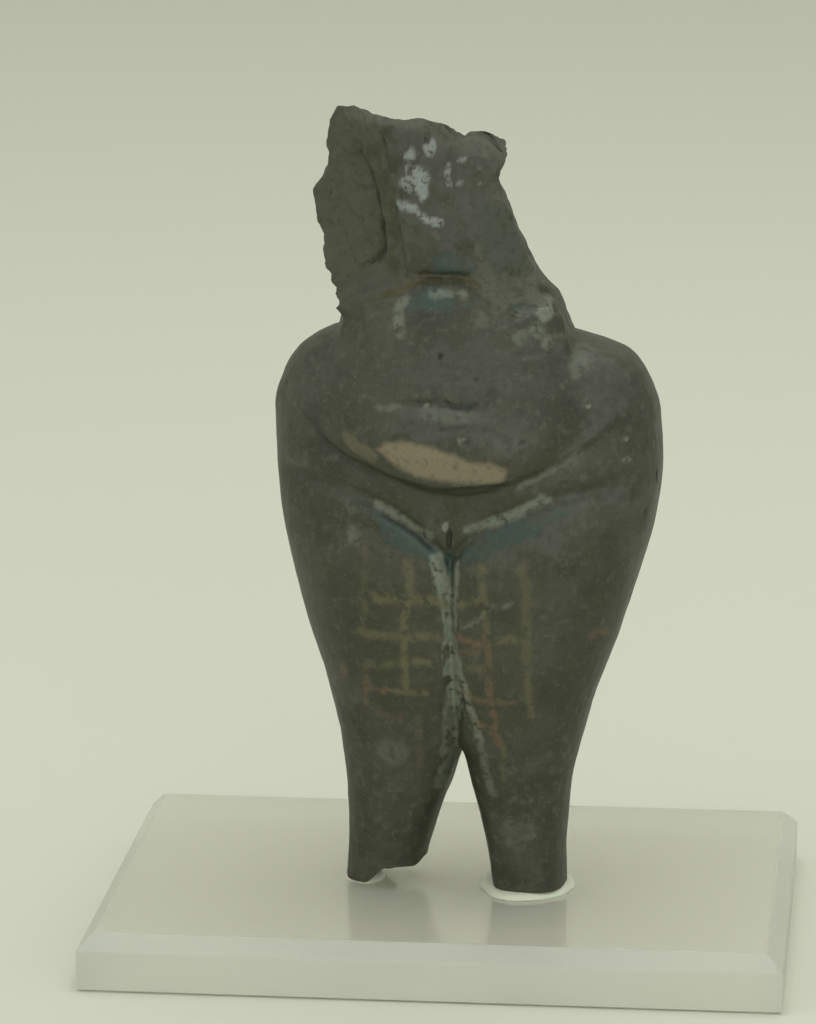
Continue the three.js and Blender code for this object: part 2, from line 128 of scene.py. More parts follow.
# The break at the neck from left to right, and how much it falls towards the back
NECK_BREAK = [[-20, 109.8], [-17.8, 112.6], [-15.4, 112.7], [-13.7, 111.8], [-10, 110.7], [-4, 110.6],
              [-2, 110.3], [-1, 109.1], [0.6, 108.8], [1.6, 109.7], [4.4, 109.5], [6, 107.8], [8, 106.5]]
NECK_FALL, NECK_ROUGH, NECK_GRAIN = 0.27, 0.35, 1.3
# Above this line the front of the neck is chipped and leans backwards
CHIP_LINE = [[-9, 112], [-5, 111.2], [-3.8, 110.6], [-2.1, 109.3], [1, 108.3], [4.3, 107.9], [8, 108.2]]
CHIP_FRONT, CHIP_LEAN = 8.3, 1.5

# The broken left stump: steps up with where each starts and ends, and its roughness
STUMP_STEPS = [(2.3, -13.4, -10.3), (1.2, -6.6, -4.6)]
STUMP_ROUGH, STUMP_GRAIN, STUMP_ROUGH_FROM = 0.2, 1.5, (-15.4, -10.3)

# Carving on the front: the lap crease, the groin lines, the groove between the thighs, and where the first
# two fade out at the flanks
LAP_LOW, LAP_MIDDLE, LAP_LEFT, LAP_RIGHT = 61.4, 1.3, 0.0165, 0.0195
LAP_STEP, LAP_EDGE, LAP_FADE = 0.9, 0.5, (66, 80)
GROIN_LOW, GROIN_RISE, GROIN_REACH = 50, 12.6, 9
GROIN_DEPTH, GROIN_WIDTH = 0.9, 1.3
GROOVE_DEPTH, GROOVE_WIDTH, GROOVE_FOOT, GROOVE_TOP = 0.8, 0.8, (22, 26), (50, 53)
FLANK = (22, 27)
# Folds: middle, reach to each side, lowest height, arch, depth and width
NAVEL = (-1.3, 6.4, 73.4, 0.3, 0.6, 0.6)
NAVEL_LIP = (-1.3, 6, 71.9, 0.2, -0.35, 1.2)
BREAST_LINE = (-1.6, 5, 89.1, 1.3, 1, 0.7)
# The hollow beside the ridge of the left break: its edge by height, its depth, wall and reach, and its ends
HOLLOW_EDGE = [[91, -11.4], [93, -10.6], [96.3, -10.8], [100, -11.4], [104, -12.4], [106.2, -13.5],
               [108.3, -14.8]]
HOLLOW_DEPTH, HOLLOW_WALL, HOLLOW_REACH = 1.6, (-0.2, 0.4), 6
HOLLOW_FOOT, HOLLOW_TOP = (91.4, 92.4), (106, 108)
# Where the carving of the front and of the back fades out, from the middle forwards and backwards
FRONT_FADE, BACK_FADE = (-1, 5), (0, 6)
# The cleft at the back
CLEFT_DEPTH, CLEFT_WIDTH, CLEFT_FOOT, CLEFT_TOP = 2, 2, (34, 48), (66, 78)


def curve(rows, column=1):
    """A smooth curve through rows of [position, value, ...]: between two rows the cubic whose end slopes
    are the harmonic means of the straight slopes beside them, so that it never overshoots a row."""
    t = np.array([row[0] for row in rows], float)
    v = np.array([row[column] for row in rows], float)
    if len(t) == 1:
        return lambda at: np.full_like(np.asarray(at, float), v[0])
    step = np.diff(t)
    slope = np.diff(v) / step
    before = np.concatenate([slope[:1], slope])
    after = np.concatenate([slope, slope[-1:]])
    same = before * after > 0
    tangent = np.where(same, 2 * before * after / np.where(same, before + after, 1), 0)

    def at_points(at):
        x = np.clip(at, t[0], t[-1])
        i = np.clip(np.searchsorted(t, x, side="right") - 1, 0, len(t) - 2)
        s = (x - t[i]) / step[i]
        return (
            v[i] * (1 + 2 * s) * (1 - s) ** 2
            + tangent[i] * step[i] * s * (1 - s) ** 2
            + v[i + 1] * s * s * (3 - 2 * s)
            + tangent[i + 1] * step[i] * s * s * (s - 1)
        )

    return at_points


LEG_OUTER = [curve(LEGS, 1), curve(LEGS, 2)]
LEG_INNER = [curve(LEGS, 3), curve(LEGS, 4)]
LEG_FRONT, LEG_BACK = curve(LEGS, 5), curve(LEGS, 6)
LEG_SQUARE = curve(LEG_POWER)
BELLY_CURVES = [curve(BELLY, column) for column in (1, 2, 3, 4)]
neck_height = curve(NECK_BREAK)
chip_line = curve(CHIP_LINE)


def smooth(x, low, high):
    """0 below low, 1 above high, and 3 s squared less 2 s cubed between."""
    s = np.clip((x - low) / (high - low), 0, 1)
    return s * s * (3 - 2 * s)


def blend(a, b, softness):
    """The lesser of two distances, rounded where they are nearly equal."""
    h = np.maximum(softness - np.abs(a - b), 0) / softness
    return np.minimum(a, b) - h * h * softness / 4


def stretch(z, foot, top):
    """1 between two heights, with a smooth foot and a smooth top."""
    return smooth(z, *foot) * (1 - smooth(z, *top))


def hill(x, width):
    """A bell curve of height 1: e to the minus square of x over width."""
    return np.exp(-((x / width) ** 2))


def crumble(x, y, z):
    """Coarse unevenness of a broken surface between -1 and 1: a sum of three crossed sine waves."""
    return (
        0.5 * np.sin(0.95 * x + 0.5 * z + 0.4) * np.sin(0.8 * z - 0.5 * y + 1)
        + 0.3 * np.sin(1.5 * z + 1.1 * y - 0.8 * x)
        + 0.2 * np.sin(2.2 * x - 1.9 * y + 2.1 * z + 1.2)
    )


LATTICE = np.random.default_rng(7).random((32, 32, 32)) * 2 - 1


def noise(x, y, z, size, shift=0):
    """Random values on a lattice of that size in millimetres, blended smoothly between its points."""
    cells, parts = [], []
    for value, offset in ((x, 3.1), (y, 7.7), (z, 1.9)):
        v = value / size + offset + shift * 5.3
        whole = np.floor(v).astype(int)
        part = v - whole
        cells.append(whole)
        parts.append(part * part * (3 - 2 * part))
    total = 0
    for corner in range(8):
        bits = [corner & 1, corner >> 1 & 1, corner >> 2 & 1]
        weight = 1
        for part, bit in zip(parts, bits):
            weight = weight * (part if bit else 1 - part)
        i, j, k = [(cell + bit) % 32 for cell, bit in zip(cells, bits)]
        total = total + weight * LATTICE[i, j, k]
    return total


def noises(x, y, z, layers):
    """A sum of noises, each with its height, size and shift."""
    return sum(height * noise(x, y, z, size, shift) for height, size, shift in layers)


def frontness(y):
    """1 on the front, fading to 0 a little behind the middle."""
    return smooth(-y, *FRONT_FADE)


def lap_rise(x):
    """How much higher the lap crease is than at its lowest point: a parabola, steeper on the right."""
    return (x - LAP_MIDDLE) ** 2 * np.where(x < LAP_MIDDLE, LAP_LEFT, LAP_RIGHT)


def groin_rise(x):
    """How much higher the groin lines are than where they meet: 1 less e to the minus distance from the
    middle over a reach, times the whole rise."""
    return GROIN_RISE * (1 - np.exp(-np.abs(x) / GROIN_REACH))


def section_distance(x, y, middle, half, front, back, power):
    """How far a point is outside a superellipse, along the line from the section's middle."""
    dx = x - middle
    reach = np.abs(dx / half) ** power + np.abs(y / np.where(y < 0, front, back)) ** power
    return np.hypot(dx, y) * (1 - 1 / np.maximum(reach ** (1 / power), 1e-6))


# A distance well outside, in millimetres, where a form doesn't reach
FAR = 60


def leg_distance(x, y, z, side):
    """A leg: at each height a superellipse between its outer and its inner edge."""
    outer, inner = LEG_OUTER[side](z), LEG_INNER[side](z)
    half = np.abs(outer - inner) / 2
    section = section_distance(x, y, (outer + inner) / 2, half, LEG_FRONT(z), LEG_BACK(z), LEG_SQUARE(z))
    return np.where(z > LEGS[-1][0], FAR, section)


def belly_distance(x, y, z):
    """The belly: superellipses stacked on a floor that is bent up like the lap crease."""
    over = z - lap_rise(x) * frontness(y) * (1 - smooth(z, *BELLY_LEVEL))
    middle, half, front, back = [c(over) for c in BELLY_CURVES]
    section = section_distance(x, y, middle, half, front, back, BELLY_POWER)
    return np.where((over < BELLY[0][0]) | (over > BELLY[-1][0]), FAR, section)


def face_of(look, rough, out):
    """A function that tells how far points are beyond a flat face of the chest: how far they are from the
    chest's upright line in the direction that the face looks, less the face's own distance there."""
    sine, cosine, distance = math.sin(math.radians(look)), math.cos(math.radians(look)), curve(out)
    return lambda x, y, z: (x - CHEST_X) * sine - y * cosine - distance(z) - rough * crumble(x, y, z)


FACES = [face_of(*face) for face in CHEST_FACES]
left_break, right_break = face_of(*LEFT_BREAK), face_of(*RIGHT_BREAK)


def edged(distances):
    """The greatest of several distances, rounded at the edges by the logarithm of a sum of powers of e."""
    return CHEST_EDGE * np.log(sum(np.exp(np.clip(d / CHEST_EDGE, -150, 150)) for d in distances))


def chest_distance(x, y, z):
    """The chest: what is inside all of its faces."""
    return np.where(z < CHEST_LOW, FAR, edged([face(x, y, z) for face in FACES]))


def ledge_line(x):
    """The height of the ledge under the right break: a straight line that rises to the right."""
    return LEDGE_LOW + LEDGE_RISE * (x - LEDGE_LEFT)


def break_distances(x, y, z):
    """How far points are beyond the left and the right break, which end at a height and at the ledge, and
    beyond the chip at the neck."""
    left_off = FAR * (1 - smooth(z, LEFT_BREAK_LOW - LEFT_BREAK_FADE, LEFT_BREAK_LOW + LEFT_BREAK_FADE))
    right_off = FAR * (1 - smooth(z, *RIGHT_BREAK_FOOT))
    ledge = LEDGE_PROUD * (1 - smooth(z - ledge_line(x), -LEDGE_SLOPE, LEDGE_SLOPE))
    chip = -y - CHIP_FRONT + CHIP_LEAN * (z - chip_line(x))
    return left_break(x, y, z) - left_off, right_break(x, y, z) - right_off - ledge, chip


def fold(x, z, middle, reach, low, arch, depth, width):
    """A short fold across the front: a bell curve over the height from an arch, which fades out with e to
    the minus fourth power of the way to its ends."""
    s = ((x - middle) / reach) ** 4
    return depth * hill(z - low - arch * (1 - s), width) * np.exp(-s)


hollow_edge = curve(HOLLOW_EDGE)


def front_carving(x, z):
    """How far the carving takes the front in at each place: bell curves across the groin lines and the
    groove, a step over the lap crease, a hollow beside the ridge, and the folds."""
    groin = GROIN_DEPTH * hill(z - GROIN_LOW - groin_rise(x), GROIN_WIDTH)
    groove = GROOVE_DEPTH * hill(x, GROOVE_WIDTH) * stretch(z, GROOVE_FOOT, GROOVE_TOP)
    overhang = LAP_STEP * smooth(z - LAP_LOW - lap_rise(x), -LAP_EDGE, LAP_EDGE) * (1 - smooth(z, *LAP_FADE))
    inwards = hollow_edge(z) - x
    hollow = HOLLOW_DEPTH * stretch(inwards, HOLLOW_WALL, (HOLLOW_WALL[1], HOLLOW_REACH))
    hollow = hollow * stretch(z, HOLLOW_FOOT, HOLLOW_TOP)
    folds = fold(x, z, *NAVEL) + fold(x, z, *NAVEL_LIP) + fold(x, z, *BREAST_LINE)
    return (groin - overhang) * (1 - smooth(np.abs(x), *FLANK)) + groove + hollow + folds


def back_carving(x, z):
    """The cleft at the back: a bell curve across the middle."""
    return CLEFT_DEPTH * hill(x, CLEFT_WIDTH) * stretch(z, CLEFT_FOOT, CLEFT_TOP)


def lower_distance(x, y, z):
    """Legs and belly blended, without the carving."""
    thighs = blend(leg_distance(x, y, z, 0), leg_distance(x, y, z, 1), THIGHS_MERGE)
    return blend(thighs, belly_distance(x, y, z), BELLY_MERGE)


def clay_distance(x, y, z):
    """Negative inside the clay, positive outside: legs, belly and chest blended, then the carving."""
    whole = blend(lower_distance(x, y, z), chest_distance(x, y, z), CHEST_MERGE)
    form = np.where(z < BREAKS_START, whole, edged([whole, *break_distances(x, y, z)]))
    return form + front_carving(x, z) * frontness(y) + back_carving(x, z) * smooth(y, *BACK_FADE)


# The search for the surface: halvings of each ray, and the rays' lengths in millimetres
HALVINGS = 24
LONGEST_RAY, LONGEST_LEG_RAY = 48.0, 30


def surface_points(middle_x, angle, sheet, limit=LONGEST_RAY):
    """Where rays in the plan, from a middle in given directions and over a sheet of heights, leave the clay:
    halving the interval between a point inside and one outside."""
    inside = np.zeros_like(angle + middle_x)
    outside = np.zeros_like(inside) + limit

    def at(r):
        x = middle_x + r * np.sin(angle)
        y = -r * np.cos(angle)
        return x, y, sheet(x, y)

    for _ in range(HALVINGS):
        r = (inside + outside) / 2
        within = clay_distance(*at(r)) < 0
        inside = np.where(within, r, inside)
        outside = np.where(within, outside, r)
    return np.stack(at(inside), -1)


# Rows and columns of the skin, where the legs' rows end, and where the rows start to follow the neck break
FRONT_COLUMNS, BACK_COLUMNS, CROTCH_COLUMNS = 240, 80, 24
LEGS_START, WAIST = 23, 84
BODY_ROWS, CHEST_ROWS, LEG_ROWS, BREAK_RINGS, STUMP_RINGS = 142, 64, 50, 26, 14
# Heights where rows start and stop to bend to the groin lines and the lap crease, and where their middle
# moves to the chest's
GROIN_ROWS, LAP_ROWS_END, CHEST_START = (30, 50), 80, (74, 86)


def break_sheet(x, y):
    """The height of the neck's break: a line from left to right that falls backwards, and is uneven."""
    return neck_height(x) - NECK_FALL * y + NECK_ROUGH * crumble(NECK_GRAIN * x, NECK_GRAIN * y, 3)


def left_stump(x, y):
    """The height of the left stump's underside: two smooth steps, rough towards the middle."""
    step = sum(height * smooth(x, start, end) for height, start, end in STUMP_STEPS)
    rough = STUMP_ROUGH * (1 + crumble(STUMP_GRAIN * x, STUMP_GRAIN * y, 6))
    return step + rough * smooth(x, *STUMP_ROUGH_FROM)


STUMPS = [left_stump, lambda x, y: np.zeros_like(x)]


def body_rings():
    """Rings of the body from the join of the legs to the neck break, as rows by columns by 3. Rows bend to
    follow the groin lines and the lap crease, and over the waist they lie between it and the break."""
    right = np.concatenate([
        np.linspace(0, math.pi / 2, FRONT_COLUMNS // 2 + 1),
        np.linspace(math.pi / 2, math.pi, BACK_COLUMNS // 2 + 1)[1:],
    ])
    angles = np.concatenate([right, -right[-2:0:-1]])[None, :]
    height = np.linspace(LEGS_START, WAIST, BODY_ROWS)[:, None]
    groin_to_lap = (GROIN_ROWS[1], LAP_LOW)
    by_groin = stretch(height, GROIN_ROWS, groin_to_lap)
    by_lap = stretch(height, groin_to_lap, (LAP_LOW, LAP_ROWS_END))
    lower = surface_points(
        CHEST_X * smooth(height, *CHEST_START),
        angles,
        lambda x, y: height + frontness(y) * (by_groin * groin_rise(x) + by_lap * lap_rise(x)),
    )
    share = np.linspace(0, 1, CHEST_ROWS + 1)[1:, None]
    upper = surface_points(
        np.full_like(share, CHEST_X), angles, lambda x, y: WAIST + share * (break_sheet(x, y) - WAIST)
    )
    return np.concatenate([lower, upper]), len(right) - 1


def crotch_line(front, back):
    """The underside of the join between the legs: heights in the plane x = 0 found by halving."""
    y = np.linspace(front[1], back[1], CROTCH_COLUMNS + 1)[1:-1]
    outside = np.full_like(y, 5.0)
    inside = np.full_like(y, LEGS_START)
    for _ in range(HALVINGS):
        z = (inside + outside) / 2
        within = clay_distance(np.zeros_like(y), y, z) < 0
        inside = np.where(within, z, inside)
        outside = np.where(within, outside, z)
    return np.stack([np.zeros_like(y), y, inside], -1)


def leg_rings(side, start):
    """Rings of one leg from its ring of start points down to its break."""
    def middle(z):
        return (LEG_OUTER[side](z) + LEG_INNER[side](z)) / 2

    direction = np.arctan2(start[:, 0] - middle(start[:, 2]), -start[:, 1])[None, :]
    top = start[None, :, 2]
    share = np.linspace(0, 1, LEG_ROWS + 1)[1:, None]
    centre = middle(top * (1 - share))
    inwards = (-1 if side else 1) * np.sin(direction)
    limit = np.where(inwards > 0.01, np.abs(centre) / np.maximum(inwards, 0.01), LONGEST_LEG_RAY)
    sheet = STUMPS[side]
    return surface_points(
        centre, direction, lambda x, y: top + share * (sheet(x, y) - top), np.minimum(limit, LONGEST_LEG_RAY)
    )


def closing_rings(ring, count, sheet):
    """Rings that shrink to a point over a sheet of heights, and that point."""
    middle = ring.mean(0)
    share = np.linspace(1, 0, count + 1)[1:-1, None, None]
    rings = middle + share * (ring - middle)
    rings[..., 2] = sheet(rings[..., 0], rings[..., 1])
    middle[2] = sheet(middle[0], middle[1])
    return rings, middle


class Skin:
    """Collects points and faces of one closed surface."""

    def __init__(self):
        self.points, self.quads, self.triangles, self.count = [], [], [], 0

    def add(self, points):
        """Keeps points and returns their numbers."""
        points = np.asarray(points, float).reshape(-1, 3)
        numbers = np.arange(self.count, self.count + len(points))
        self.points.append(points)
        self.count += len(points)
        return numbers

    def join(self, lower, upper):
        """Quads between two rings of numbers that run anticlockwise seen from above."""
        self.quads.append(np.stack([lower, np.roll(lower, -1), np.roll(upper, -1), upper], -1))

    def cap(self, ring, tip, upwards):
        """Triangles from a ring to one point, which look up or down."""
        following = np.roll(ring, -1)
        tips = np.full_like(ring, tip)
        order = [ring, following, tips] if upwards else [following, ring, tips]
        self.triangles.append(np.stack(order, -1))

    def tube(self, numbers, rings):
        """Joins ring after ring onto the ring of numbers, and returns the last one's numbers."""
        for ring in rings:
            following = self.add(ring)
            self.join(numbers, following)
            numbers = following
        return numbers


def clay_skin():
    """The closed skin: the body's rings up over the neck's break, and each leg's rings from the join down
    over its stump."""
    skin = Skin()
    rings, half = body_rings()
    first = skin.add(rings[0])
    edge = skin.tube(first, rings[1:])
    rings_in, middle = closing_rings(rings[-1], BREAK_RINGS, break_sheet)
    edge = skin.tube(edge, rings_in)
    skin.cap(edge, skin.add(middle)[0], True)

    crotch = crotch_line(rings[0][0], rings[0][half])
    crotch_numbers = skin.add(crotch)
    starts = [
        np.concatenate([first[half:], first[:1], crotch_numbers]),
        np.concatenate([first[: half + 1], crotch_numbers[::-1]]),
    ]
    points = np.concatenate(skin.points)
    for side, start in enumerate(starts):
        rows = leg_rings(side, points[start])
        rings_in, middle = closing_rings(rows[-1], STUMP_RINGS, STUMPS[side])
        upper = start
        for ring in [*rows, *rings_in]:
            lower = skin.add(ring)
            skin.join(lower, upper)
            upper = lower
        skin.cap(upper, skin.add(middle)[0], False)
    return skin


def mesh_object(name, skin, points=None):
    """A mesh object in metres from a skin's points and faces."""
    points = np.concatenate(skin.points) if points is None else points
    quads = np.concatenate(skin.quads)
    triangles = np.concatenate(skin.triangles)
    mesh = bpy.data.meshes.new(name)
    mesh.vertices.add(len(points))
    mesh.vertices.foreach_set("co", (points * MM).astype(np.float32).ravel())
    corners = np.concatenate([quads.ravel(), triangles.ravel()])
    mesh.loops.add(len(corners))
    mesh.loops.foreach_set("vertex_index", corners.astype(np.int32))
    sizes = np.concatenate([np.full(len(quads), 4), np.full(len(triangles), 3)])
    mesh.polygons.add(len(sizes))
    mesh.polygons.foreach_set("loop_start", np.concatenate([[0], np.cumsum(sizes)[:-1]]).astype(np.int32))
    mesh.update(calc_edges=True)
    mesh.shade_smooth()
    made = bpy.data.objects.new(name, mesh)
    bpy.context.scene.collection.objects.link(made)
    return made


def to_row_frame(points):
    """The figure's own frame turned and moved to its place on the base."""
    c, s = math.cos(FIGURE_TURN), math.sin(FIGURE_TURN)
    x, y, z = points.T
    px, py, pz = FIGURE_PLACE
    return np.stack([px + c * x - s * y, py + s * x + c * y, pz + z], -1)


# Half the distance over which the slope of the clay's distance is taken, in millimetres
NORMAL_STEP = 0.05


def normals_at(points):
    """Unit gradient of the clay's distance."""
    x, y, z = points.T
    e = NORMAL_STEP
    slope = np.stack([
        clay_distance(x + e, y, z) - clay_distance(x - e, y, z),
        clay_distance(x, y + e, z) - clay_distance(x, y - e, z),
        clay_distance(x, y, z + e) - clay_distance(x, y, z - e),
    ], -1)
    slope = np.clip(slope, -1, 1)
    return slope / np.maximum(np.linalg.norm(slope, axis=-1, keepdims=True), 1e-6)


def segments(x, z, points, closed=False):
    """Distance to a line through points (x, z), and whether an outline through them holds the place."""
    best = np.full_like(x, 1e9)
    inside = np.zeros(x.shape, bool)
    for (x0, z0), (x1, z1) in zip(points, points[1:] + points[:1] * closed):
        dx, dz = x1 - x0, z1 - z0
        s = np.clip(((x - x0) * dx + (z - z0) * dz) / (dx * dx + dz * dz), 0, 1)
        best = np.minimum(best, np.hypot(x - x0 - s * dx, z - z0 - s * dz))
        inside ^= ((z0 > z) != (z1 > z)) & (x < x0 + dx * (z - z0) / (dz or 1e-9))
    return best, inside


# How soft a line's and a patch's edge is in millimetres, and where a spot fades as a share of its size
STROKE_SOFT, PATCH_SOFT, SPOT_FADE = 0.3, 0.5, (0.7, 1.15)


def stroke(x, z, points, width):
    """1 along a line and 0 beyond its width."""
    return 1 - smooth(segments(x, z, points)[0], width / 2 - STROKE_SOFT, width / 2 + STROKE_SOFT)


def patch(x, z, corners):
    """1 inside an outline and 0 outside it."""
    best, inside = segments(x, z, corners, closed=True)
    return 1 - smooth(np.where(inside, -best, best), -PATCH_SOFT, PATCH_SOFT)


def spot(x, z, at, size):
    """A round patch."""
    return 1 - smooth(np.hypot((x - at[0]) / size[0], (z - at[1]) / size[1]), *SPOT_FADE)


